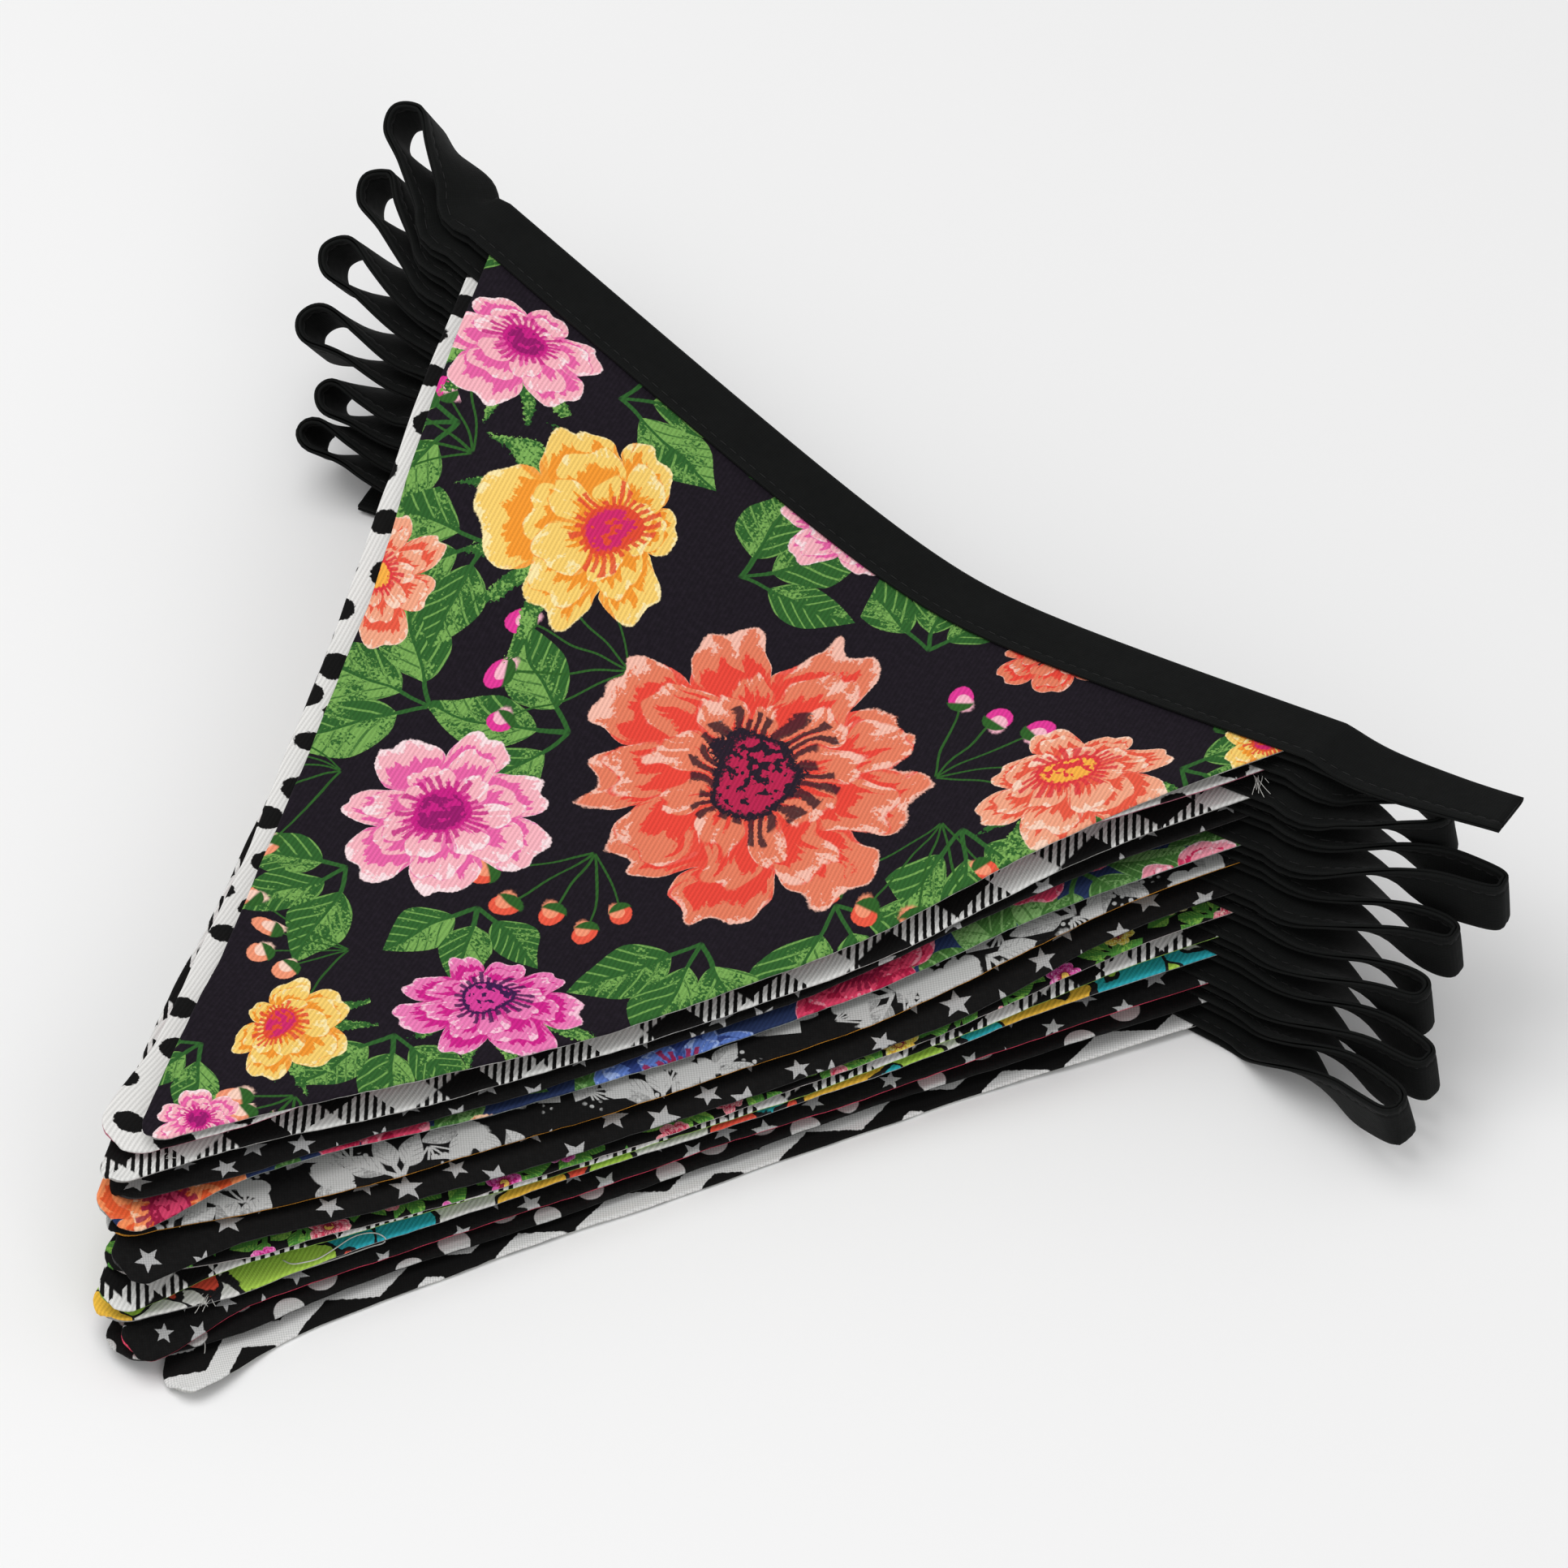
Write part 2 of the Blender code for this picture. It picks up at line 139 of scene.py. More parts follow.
def pitch(index, x, y):
    wide, deep = toFlag(index, x, y)
    bound = nearBound(deep, stack["boundSpread"])
    corner = nearBound(deep, stack["cornerSpread"])
    height = stack["groundPitch"] + (stack["boundPitch"] - stack["groundPitch"]) * bound
    height = height + stack["cornerExtra"] * corner * rise(wide)
    height = height + flagRows["tipGap"][index] * smooth((-deep - stack["tipAt"]) / stack["tipSpread"])
    (across, ownAcross), (along, ownAlong) = stack["waveAcross"], stack["waveAlong"]
    wave = np.sin(across * wide + ownAcross * index)
    wave = wave + np.sin(along * deep + ownAlong * index + stack["waveSkew"] * wide)
    return height + stack["wave"] * (1.0 - corner) * wave


def level(index, x, y):
    _, deep = toFlag(flagCount - 1, x, y)
    half = stack["cloth"] / 2.0
    height = half + (stack["tapeUnder"] - half) * nearBound(deep, stack["underSpread"])
    for lower in range(index + 1, flagCount):
        height = height + pitch(lower, x, y)
    return height


def sheetPoint(index, x, y):
    wide, forward = toStack(index, x, y)
    return np.stack(np.broadcast_arrays(wide, forward, level(index, wide, forward)), axis=-1)


def meshPiece(name, points, faces, uv=None, side=None):
    mesh = bpy.data.meshes.new(name)
    places = (np.asarray(points) - np.array(stack["boxMiddle"])) * mm
    mesh.from_pydata(places.tolist(), [], faces)
    mesh.validate()
    if uv is not None:  # one place for each vertex, in mm on the cloth
        layer = mesh.uv_layers.new(name="cloth")
        corners = np.zeros(len(mesh.loops), np.int32)
        mesh.loops.foreach_get("vertex_index", corners)
        layer.uv.foreach_set("vector", np.asarray(uv, np.float32)[corners].ravel())
    if side is not None:  # 1 on the upper cloth, -1 on the lower one
        mesh.attributes.new("side", "FLOAT", "POINT").data.foreach_set("value", np.asarray(side, np.float32))
    mesh.polygons.foreach_set("use_smooth", [True] * len(mesh.polygons))
    return addObject(name, mesh)


def attach(piece, material, node=None):  # its material, its body and the node that it stands for
    piece.data.materials.append(material)
    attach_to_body(piece, "root")
    if node:
        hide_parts(node)
    return piece


flagSettings = {
    "rowStep": 2.3, "columns": 64, "topRowStep": 1.7, "topColumns": 96,
    "edgeSteps": (0.0, 0.07, 0.24, 0.5, 0.9, 1.6, 2.8, 4.3, 5.6, 6.4, 7.2, 8.6), "edgeShare": 0.72,
    "tipSteps": (0.62, 0.34, 0.15, 0.04, 0.0), "tipWidth": 0.3, "bluntOver": 34.0, "curlOver": 24.0,
    "halfCloth": 0.36, "halfSeam": 0.49, "seamWidth": 6.4, "seamFade": 1.2, "edgeRound": 0.55,
    "looseFrom": 18.0, "looseOver": 30.0, "outFrom": 16.0, "outOver": 50.0,
    "pucker": 0.10, "puckerStep": 6.5, "puckerReach": 3.2, "wave": 0.18, "edgeWander": 0.55, "wanderFull": 20.0,
    "wander": ((0.061, 1.0, 0.0, 0.5), (0.148, 2.3, 1.0, 0.32), (0.37, 3.1, 2.0, 0.14)),
}
tipRows = {  # how each point stands: lifted, rolled to a side, pushed along X, made blunt, its rounding (mm)
    "lift": (0.2, 0.5, 0.3, -0.3, 0.6, -0.4, 0.7, 0.0, 0.5, -0.3, 0.4, 0.3, 1.6),
    "roll": (0.3, -0.9, 0.7, 1.0, -0.8, 0.6, -1.0, 0.9, -0.6, 1.0, -0.9, 0.5, 0.9),
    "push": (0.0, -2.4, 1.8, -3.2, 3.6, -2.6, 3.4, -4.4, 2.8, -3.0, 3.8, -3.4, 4.6),
    "blunt": (0.0, 1.8, 0.4, 1.2, 2.0, 0.6, 1.5, 2.2, 0.8, 1.8, 1.0, 2.2, 1.0),
    "round": (2.4, 3.2, 1.8, 3.4, 2.2, 2.8, 1.8, 3.4, 2.0, 3.0, 1.8, 2.8, 2.2),
}


def roundEnd(share):  # a quarter circle: 0 at share 0, 1 at share 1
    return np.sqrt(1.0 - (1.0 - share) ** 2)


def flatFlag(index, depth, base):  # rows of x, depth, half the row's width, and distance to the edge
    settings = flagSettings
    tip = tipRows["round"][index]
    columns = settings["topColumns" if index == 0 else "columns"]
    rows = int((depth - tip) / settings["topRowStep" if index == 0 else "rowStep"])
    steps = np.array(settings["edgeSteps"])
    grid = []
    for deep in [*np.linspace(0.0, depth - tip, rows + 1), *(depth - tip * f for f in settings["tipSteps"])]:
        share = deep / depth
        half = (base * (1.0 - share) + stack["point"] * share) / 2.0
        left = depth - deep
        half += tipRows["blunt"][index] * float(smooth(1.0 - left / settings["bluntOver"]))
        if left < tip:
            half *= settings["tipWidth"] + (1.0 - settings["tipWidth"]) * float(roundEnd(left / tip))
        near = steps * min(1.0, settings["edgeShare"] * half / steps[-1])
        middles = np.linspace(-(half - near[-1]), half - near[-1], columns)[1:-1]
        x = np.concatenate((-half + near, middles, (half - near)[::-1]))
        grid.append((x, np.full_like(x, deep), np.full_like(x, half), np.minimum(half - np.abs(x), left)))
    return (np.array(column) for column in zip(*grid))


def flagGrid(index):
    settings = flagSettings
    seed = 1.7 * index
    depth = stack["depth"] * flagRows["length"][index]
    base = stack["base"] * flagRows["width"][index]
    x, deep, half, gap = flatFlag(index, depth, base)
    share = deep / depth
    along = x / half
    side = np.sign(x)
    loose = smooth((deep - settings["looseFrom"]) / settings["looseOver"])
    wander = sum(np.sin(deep * pace + own * seed + apart * side) * size
                 for pace, own, apart, size in settings["wander"])
    planX = x + settings["edgeWander"] * wander * loose * along * np.minimum(1.0, half / settings["wanderFull"])
    planX = planX + flagRows["slew"][index] * share**2
    out = (1.0 + along) * flagRows["rightOut"][index] - (1.0 - along) * flagRows["leftOut"][index]
    out = out / 2.0 * smooth((deep - settings["outFrom"]) / settings["outOver"])
    planX = planX + out * smooth((depth - deep) / settings["outOver"])
    nearTip = smooth((deep - (depth - settings["curlOver"])) / settings["curlOver"])
    planX = planX + tipRows["push"][index] * nearTip
    planY = -deep + bowed(along * base / 2.0) * (1.0 - share) ** 2
    middle = sheetPoint(index, planX, planY)
    wave = np.sin(planX * 0.083 + seed * 1.9) * np.sin(planY * 0.071 + seed)
    wave = wave + 0.5 * np.sin(planX * 0.19 - planY * 0.13 + seed)
    ripple = deep * 2.0 * math.pi / settings["puckerStep"] + 1.3 * np.sin(deep * 0.21 + seed) + 1.5 * side
    lift = settings["wave"] * wave * loose
    lift = lift + settings["pucker"] * np.sin(ripple) * np.exp(-gap / settings["puckerReach"]) * loose
    lift = lift + tipRows["lift"][index] * nearTip + tipRows["roll"][index] * along * nearTip
    if index == flagCount - 1:  # the lowest flag stays above the floor
        lift = np.maximum(lift, 0.0)
    middle[..., 2] += lift
    # the cloth's thickness: full over the turned-in seam, rounded at the sewn edges
    seam = 1.0 - smooth((gap - settings["seamWidth"] + 0.8) / settings["seamFade"])
    thick = settings["halfCloth"] + (settings["halfSeam"] - settings["halfCloth"]) * seam
    thick = thick * roundEnd(np.clip(gap / settings["edgeRound"], 0.0, 1.0))
    return middle, thick, np.stack((x, planY), axis=-1)


def makeFlag(index, material):
    middle, thick, place = flagGrid(index)
    normal = unit(np.cross(np.gradient(middle, axis=0), np.gradient(middle, axis=1)))
    normal = np.where(normal[..., 2:] < 0.0, -normal, normal) * thick[..., None]
    rows, columns = thick.shape
    upper = np.arange(rows * columns).reshape(rows, columns)
    loose = thick >= 1e-6  # the two cloths share their points where they are sewn
    lower = upper.copy()
    lower[loose] = rows * columns + np.arange(loose.sum())
    points = np.concatenate(((middle + normal).reshape(-1, 3), (middle - normal)[loose]))
    uv = np.concatenate((place.reshape(-1, 2), place[loose]))
    side = np.concatenate((np.where(loose, 1.0, 0.0).ravel(), np.full(loose.sum(), -1.0)))
    faces = []
    for r in range(rows - 1):
        for c in range(columns - 1):
            faces.append((upper[r, c], upper[r + 1, c], upper[r + 1, c + 1], upper[r, c + 1]))
            faces.append((lower[r, c], lower[r, c + 1], lower[r + 1, c + 1], lower[r + 1, c]))
    for c in range(columns - 1):
        faces.append(tuple(dict.fromkeys((upper[0, c], upper[0, c + 1], lower[0, c + 1], lower[0, c]))))
    faces = [tuple(int(v) for v in face) for face in faces if len(set(face)) > 2]
    name = f"flag_{index + 1:02d}"
    return attach(meshPiece(name + "_cloth", points, faces, uv, side), material, name)


tapeSettings = {
    "wall": 0.55, "inside": 11.6, "fit": 0.3, "freeSlot": 0.30, "slotShare": 0.16, "stitchLine": 9.9,
    "boundSteps": 72, "loopStep": 1.15, "crowd": 0.48, "tailSteps": 26, "curveSteps": 400,
    "straight": 5.0, "openings": (0.34, 0.64), "turnBack": 0.45, "blend": 8.0,
    "tail": (38.0, 8.0, 1.0, 12.0), "endTail": (16.0, -3.0, 0.0, 0.0),  # length, side, rise, lean
    "tailKnots": ((0.3, 0.1), (0.65, 0.5), (1.0, 1.0)), "underSide": 40.0,
}
tapeSides = (  # which way; where the lean starts, over how far, how open near the flags and halfway; the loops
    (-1.0, (4.2, 26.2, 0.25, 0.58), (  # reach, side, drop, spread, lean
        (30.4, 12.4, -3.0, 7.6, 60.8), (31.1, 8.6, 0.6, 8.0, 59.1), (33.0, -0.1, 0.1, 8.0, 55.5),
        (33.6, -6.1, 1.3, 7.3, 56.1), (26.2, -6.1, 2.8, 6.0, 51.7), (26.4, -10.0, -2.5, 5.2, 51.8),
    )),
    (1.0, (5.1, 30.7, 0.38, 0.83), (
        (29.0, 9.5, 1.5, 5.3, 84.3), (42.5, 12.0, 0.2, 4.5, 84.5), (37.0, 7.5, 0.9, 4.3, 80.9),
        (36.5, 2.5, 0.2, 5.1, 81.5), (43.5, -1.1, -2.0, 4.9, 80.1), (45.0, -8.0, -8.5, 5.4, 74.2),
    )),
)


def boundSections(index):  # a section is the fold's place, the way across the tape, and half of the slot
    along = np.linspace(-1.0, 1.0, tapeSettings["boundSteps"] + 1)
    if index % 2 == 0:
        along = along[::-1]
    x = along * stack["base"] * flagRows["width"][index] / 2.0
    edge = sheetPoint(index, x, bowed(x))
    width = unit(sheetPoint(index, x, bowed(x) - stack["band"]) - edge)
    slot = stack["cloth"] / 2.0 + tapeSettings["fit"]
    return [(edge[i], width[i], slot) for i in range(len(along))]


def middleOf(section):
    return section[0] + section[1] * tapeSettings["inside"] / 2.0


def curvePoint(knots, share):
    count = len(knots) - 1
    place = min(share * count, count - 1e-9)
    first = int(place)
    u = place - first
    before = knots[first - 1] if first > 0 else 2.0 * knots[0] - knots[1]
    after = knots[first + 2] if first + 2 <= count else 2.0 * knots[count] - knots[count - 1]
    start = knots[first]
    end = knots[first + 1]
    curve = 2.0 * start + (end - before) * u
    curve = curve + (2.0 * before - 5.0 * start + 4.0 * end - after) * u * u
    curve = curve + (3.0 * start - before - 3.0 * end + after) * u * u * u
    return 0.5 * curve


def fineCurve(knots):
    steps = tapeSettings["curveSteps"]
    return np.array([curvePoint(knots, i / steps) for i in range(steps + 1)])


def curveLengths(fine):
    return np.concatenate(((0.0,), np.cumsum(np.linalg.norm(np.diff(fine, axis=0), axis=1))))


def crowded(share, crowd):  # a share along a curve, with the steps drawn together at its middle
    return share + crowd * np.sin(2.0 * math.pi * share) / (2.0 * math.pi)


def evenPoints(knots, steps, crowd=0.0):
    fine = fineCurve(knots)
    lengths = curveLengths(fine)
    wanted = lengths[-1] * crowded(np.linspace(0.0, 1.0, steps + 1), crowd)
    return np.stack([np.interp(wanted, lengths, fine[:, i]) for i in range(3)], axis=1)


def ribbonSections(points, widths, startSlot, endSlot, crowd=0.0):
    sections = []
    count = len(points) - 1
    free = tapeSettings["freeSlot"] / 2.0
    for i in range(1, count):
        run = unit(points[i + 1] - points[i - 1])
        width = unit(widths[i] - run * np.dot(widths[i], run))
        share = crowded(i / count, crowd)
        slot = free + (startSlot - free) * (1.0 - smooth(share / tapeSettings["slotShare"]))
        slot = slot + (endSlot - free) * (1.0 - smooth((1.0 - share) / tapeSettings["slotShare"]))
        sections.append((points[i] - width * tapeSettings["inside"] / 2.0, width, float(slot)))
    return sections


def leaned(flat, lean):
    angle = math.radians(lean)
    return flat * math.cos(angle) + up * math.sin(angle)


def loopSections(start, end, loop, bend, outward):
    reach, side, drop, spread, lean = loop
    turnStart, turnLength, *openness = bend
    crowd = tapeSettings["crowd"]
    blend = tapeSettings["blend"]
    first = middleOf(start)
    last = middleOf(end)
    flat = unit((start[1] + end[1]) * np.array((1.0, 1.0, 0.0)))
    top = leaned(flat, lean)
    centre = (first + last) / 2.0
    far = centre + np.array((outward * reach, side, -drop))
    heading = unit(far - centre)
    heading = unit(heading - top * np.dot(heading, top))
    across = unit(np.cross(top, heading))
    if np.dot(across, first - last) < 0.0:
        across = -across
    half = across * spread / 2.0
    rest = (first - last) / 2.0
    straight = np.array((outward * tapeSettings["straight"], 0.0, 0.0))
    back = heading * spread * tapeSettings["turnBack"]
    aside = [(centre * (1.0 - share) + far * share, half * openShare + rest * (1.0 - share))
             for share, openShare in zip(tapeSettings["openings"], openness)]
    knots = [first, first + straight, *(place + off for place, off in aside), far - back + half, far,
             far - back - half, *(place - off for place, off in aside[::-1]), last + straight, last]
    length = curveLengths(fineCurve(knots))[-1]
    steps = int(length / tapeSettings["loopStep"])
    widths = []
    for i in range(steps + 1):
        gone = length * crowded(i / steps, crowd)
        turn = smooth((gone - turnStart) / turnLength) * smooth((length - gone - turnStart) / turnLength)
        width = leaned(flat, lean * float(turn))
        width = start[1] + (width - start[1]) * smooth(gone / blend)
        widths.append(width + (end[1] - width) * (1.0 - smooth((length - gone) / blend)))
    return ribbonSections(evenPoints(knots, steps, crowd), widths, start[2], end[2], crowd)


def tailSections(start, outward, length, side, riseBy, lean):
    first = middleOf(start)
    flat = unit(start[1] * np.array((1.0, 1.0, 0.0)))
    knots = [first]
    for reach, aside in tapeSettings["tailKnots"]:
        knots.append(first + np.array((outward * length * reach, side * aside, riseBy * aside)))
    steps = tapeSettings["tailSteps"]
    points = evenPoints(knots, steps)
    points = np.concatenate((points, [2.0 * points[-1] - points[-2]]))
    widths = [leaned(flat, lean * float(smooth(i / steps))) for i in range(steps + 2)]
    return ribbonSections(points, widths, start[2], tapeSettings["freeSlot"] / 2.0)


def tapeSections():
    runs = [boundSections(i) for i in range(flagCount)]
    sections = tailSections(runs[0][0], 1.0, *tapeSettings["tail"])[::-1]
    for i, run in enumerate(runs):
        sections += run
        if i + 1 < flagCount:
            outward, bend, loops = tapeSides[i % 2]
            sections += loopSections(run[-1], runs[i + 1][0], loops[i // 2], bend, outward)
    return sections + tailSections(runs[-1][-1], -1.0, *tapeSettings["endTail"])


def tapeFrames():
    sections = tapeSections()
    middles = np.array([middleOf(section) for section in sections])
    edge, width, slot = (np.array(column) for column in zip(*sections))
    run = np.empty_like(middles)
    run[1:-1] = middles[2:] - middles[:-2]
    run[0] = middles[1] - middles[0]
    run[-1] = middles[-1] - middles[-2]
    return {"edge": edge, "width": width, "up": unit(np.cross(width, unit(run))), "slot": slot,
            "gone": curveLengths(middles)}


def tapeOutline(slot):  # over the upper wall to the fold, back under the lower one, then the slot
    outer = slot + tapeSettings["wall"]
    inside = tapeSettings["inside"]
    fit = tapeSettings["fit"]
    stitch = tapeSettings["stitchLine"]
    fold = fit + tapeSettings["wall"]
    half = [
        (inside, outer - 0.30), (inside - 0.04, outer - 0.10), (inside - 0.25, outer), (10.7, outer),
        (stitch + 0.35, outer - 0.02), (stitch, outer - 0.10), (stitch - 0.35, outer - 0.02), (9.0, outer),
        (6.5, outer + 0.02), (3.5, outer + 0.02), (1.0, outer), (0.1, outer * 0.96), (-0.45, outer * 0.74),
        (-fold * 0.93, outer * 0.4),
    ]
    lower = [(across, -height) for across, height in reversed(half)]
    hidden = [(inside, -slot), (5.0, -slot), (-fit, -slot), (-fit, slot), (5.0, slot), (inside, slot)]
    return half + [(-fold, 0.0)] + lower + hidden


def ringFaces(first, rings, sides):  # the quads between rings of points that follow each other
    faces = []
    for i in range(rings - 1):
        for side in range(sides):
            a = first + i * sides + side
            b = first + i * sides + (side + 1) % sides
            faces.append((a, a + sides, b + sides, b))
    return faces


def tubeFaces(first, rings, sides):
    last = first + (rings - 1) * sides
    return ringFaces(first, rings, sides) + [tuple(range(first, first + sides)),
                                             tuple(range(last + sides - 1, last - 1, -1))]


def makeTape(frames, material):
    points = []
    uv = []
    for edge, width, high, slot, gone in zip(*(frames[key] for key in ("edge", "width", "up", "slot", "gone"))):
        for across, height in tapeOutline(slot):
            points.append(edge + width * across + high * height)
            uv.append((gone, across if height > 0.0 else tapeSettings["underSide"] + across))
    ring = len(tapeOutline(frames["slot"][0]))
    count = len(frames["slot"])
    faces = ringFaces(0, count, ring)
    turn = ring - 7  # the last point of the outline before the slot
    walls = (  # the cut ends are closed between the outline and the slot
        [*range(0, 11), ring - 3, ring - 2, ring - 1],
        [*range(10, turn - 9), ring - 4, ring - 3],
        [*range(turn - 10, turn + 1), ring - 6, ring - 5, ring - 4],
    )
    for base, way in ((0, 1), ((count - 1) * ring, -1)):
        faces += [tuple(base + j for j in wall)[::way] for wall in walls]
    return attach(meshPiece("tape_cloth", points, faces, uv), material, "tape")


stitchSettings = {
    "step": 2.7, "length": 2.1, "radius": 0.13, "flat": 0.8, "first": 1.5, "last": 2.5, "sunk": 0.07,
    "rings": ((0.0, 0.35, 0.07), (0.22, 1.0, 0.0), (0.78, 1.0, 0.0), (1.0, 0.35, 0.07)),
}


def makeStitches(frames, material):
    gone = frames["gone"]

    def at(key, place):
        return np.array([np.interp(place, gone, frames[key][:, i]) for i in range(3)])

    points = []
    faces = []
    for place in np.arange(stitchSettings["first"], gone[-1] - stitchSettings["last"], stitchSettings["step"]):
        top = np.interp(place, gone, frames["slot"]) + tapeSettings["wall"] - stitchSettings["sunk"]
        for face in (1.0, -1.0):
            faces += tubeFaces(len(points), len(stitchSettings["rings"]), 4)
            for share, swell, sink in stitchSettings["rings"]:
                spot = place + (share - 0.5) * stitchSettings["length"]
                width = at("width", spot)
                high = at("up", spot)
                middle = at("edge", spot) + width * tapeSettings["stitchLine"] + high * face * (top - sink)
                for turn in (45, 135, 225, 315):
                    angle = math.radians(turn)
                    spread = width * math.cos(angle) + high * math.sin(angle) * stitchSettings["flat"]
                    points.append(middle + spread * stitchSettings["radius"] * swell)
    return attach(meshPiece("tape_stitching", points, faces), material)


threadSettings = {
    "radius": 0.13, "fibre": 0.06, "sides": 5, "steps": 90, "fibreSteps": 6, "seed": 5,
    "scatter": 26.0, "bend": 0.5, "shortest": 0.45, "apart": (0.7, 0.7, 0.15), "settle": 0.4,
    "offPlumb": np.array((0.013, 0.021, 0.0)),  # so that no thread runs straight along it
}
looseThread = (  # a thread end that lies over two of the lower flags' edges, in the stack's mm
    (21.5, -201.2, 9.0), (23.4, -200.9, 9.1), (25.0, -199.4, 9.4), (26.2, -196.6, 9.1), (26.7, -192.8, 9.0),
    (27.2, -188.8, 9.1), (28.6, -186.3, 9.3), (30.2, -185.0, 9.3), (31.4, -184.2, 8.2), (31.1, -184.6, 7.0),
    (29.8, -186.6, 6.7), (27.9, -191.2, 6.7), (25.6, -196.4, 6.7), (23.4, -201.2, 6.9),
)
frays = (  # where cut cloth has frayed: place, heading in degrees, fall, how many, how long
    ((97.4, -15.2, 45.8), -20.0, -0.45, 8, 4.2), ((7.0, -213.5, 20.6), -100.0, -0.3, 7, 3.2),
    ((17.0, -217.0, 8.9), -80.0, -0.2, 8, 3.4), ((20.0, -222.0, 4.6), -95.0, -0.2, 6, 3.0),
    ((2.0, -210.0, 31.0), -120.0, -0.3, 5, 2.6),
)


def tubeAlong(spots, radius, points, faces):  # a thin thread along a row of spots, with closed ends
    sides = threadSettings["sides"]
    faces += tubeFaces(len(points), len(spots), sides)
    for i, spot in enumerate(spots):
        run = unit(spots[min(i + 1, len(spots) - 1)] - spots[max(i - 1, 0)])
        across = unit(np.cross(run, up + threadSettings["offPlumb"]))
        high = np.cross(across, run)
        for side in range(sides):
            angle = 2.0 * math.pi * side / sides
            points.append(spot + (across * math.cos(angle) + high * math.sin(angle)) * radius)


def fibreSpots(start, heading, fall, length, luck):  # one frayed fibre: it leaves the cloth and bends over
    settings = threadSettings
    steps = settings["fibreSteps"]
    turn = math.radians(heading + luck.normal() * settings["scatter"])
    bend = luck.normal() * settings["bend"]
    reach = length * luck.uniform(settings["shortest"], 1.0)
    spots = [np.array(start) + luck.normal(size=3) * settings["apart"]]
    slope = luck.uniform(0.0, 0.5)
    for _ in range(steps):
        turn += bend / steps
        slope += (fall - slope) * settings["settle"]
        spots.append(spots[-1] + np.array((math.cos(turn), math.sin(turn), slope)) * reach / steps)
    return spots


def makeThreads(material):
    luck = np.random.default_rng(threadSettings["seed"])
    points = []
    faces = []
    spots = evenPoints([np.array(knot) for knot in looseThread], threadSettings["steps"])
    tubeAlong(spots, threadSettings["radius"], points, faces)
    for place, heading, fall, count, length in frays:
        for _ in range(count):
            tubeAlong(fibreSpots(place, heading, fall, length, luck), threadSettings["fibre"], points, faces)
    return attach(meshPiece("loose_threads", points, faces), material)


class Ink:  # one worked-out number, colour or place; sums with it lay more nodes
    def __init__(self, plan, socket):
        self.plan = plan
        self.socket = socket

    def __neg__(self):
        return self * -1.0

    def __abs__(self):
        return self.plan.calc("ABSOLUTE", self)


def letInk(name, operation):  # a sum with the ink first, and one with the ink second
    setattr(Ink, f"__{name}__", lambda ink, other: ink.plan.calc(operation, ink, other))
    setattr(Ink, f"__r{name}__", lambda ink, other: ink.plan.calc(operation, other, ink))


inkSums = {"add": "ADD", "sub": "SUBTRACT", "mul": "MULTIPLY", "truediv": "DIVIDE", "pow": "POWER"}
for name, operation in inkSums.items():
    letInk(name, operation)


class Plan:  # lays the nodes of a material or a group, in the order in which they are worked out
    def __init__(self, tree):
        self.tree = tree

    def feed(self, node, values):
        for place, value in values.items():
            socket = node.inputs[place]
            if isinstance(value, Ink):
                self.tree.links.new(value.socket, socket)
            elif socket.type == "RGBA":
                socket.default_value = (*value, 1.0)
            else:
                socket.default_value = value
        return node

    def node(self, kind, values, **settings):
        node = self.tree.nodes.new("ShaderNode" + kind)
        for key, value in settings.items():
            setattr(node, key, value)
        return self.feed(node, values)

    def put(self, kind, values, out=0, **settings):
        return Ink(self, self.node(kind, values, **settings).outputs[out])

    def calc(self, operation, *values):
        return self.put("Math", dict(enumerate(values)), operation=operation)

    def between(self, value, low, high):
        return self.calc("MINIMUM", self.calc("MAXIMUM", value, low), high)

    def step(self, value, low, high):  # 0 to 1 between low and high, or 1 to 0 where low is above high
        return self.put("MapRange", {0: value, 1: low, 2: high}, interpolation_type="SMOOTHSTEP")

    def mix(self, share, first, second):
        return self.put("Mix", {0: share, 6: first, 7: second}, 2, data_type="RGBA")

    def mixPlace(self, share, first, second):
        return self.put("Mix", {0: share, 4: first, 5: second}, 1, data_type="VECTOR")

    def place(self, x, y, z=0.0):
        return self.put("CombineXYZ", {0: x, 1: y, 2: z})

    def split(self, place):
        return [Ink(self, out) for out in self.node("SeparateXYZ", {0: place}).outputs]

    def away(self, x, y):
        return self.calc("SQRT", x * x + y * y)

    def polar(self, x, y):  # how far off a place is, and in which direction
        return self.away(x, y), self.calc("ARCTAN2", y, x)

    def flat(self, away, angle):  # x and y again
        return away * self.calc("COSINE", angle), away * self.calc("SINE", angle)

    def noise(self, place, scale, detail=2.0, out=0):
        return self.put("TexNoise", {"Vector": place, "Scale": scale, "Detail": detail}, out)

    def grain(self, place, scale, detail=2.0):  # noise to both sides of 0
        return self.noise(place, scale, detail) - 0.5

    def chance(self, *place, out=0):  # a steady random number for a place
        return self.put("TexWhiteNoise", {"Vector": self.place(*place)}, out)

    def pick(self, share, colours):  # one colour of several, for a share from 0 to 1
        node = self.node("ValToRGB", {0: share})
        ramp = node.color_ramp
        ramp.interpolation = "CONSTANT"
        while len(ramp.elements) < len(colours):
            ramp.elements.new(1.0)
        for i, colour in enumerate(colours):
            ramp.elements[i].position = i / len(colours)
            ramp.elements[i].color = (*colour, 1.0)
        return Ink(self, node.outputs[0])

    def use(self, group, **values):
        return self.put("Group", values, node_tree=group)

    def cloth(self):  # the place on the cloth, in mm
        return self.put("UVMap", {}, uv_map="cloth")


def scaled(colour, share):
    return tuple(share * value for value in colour)


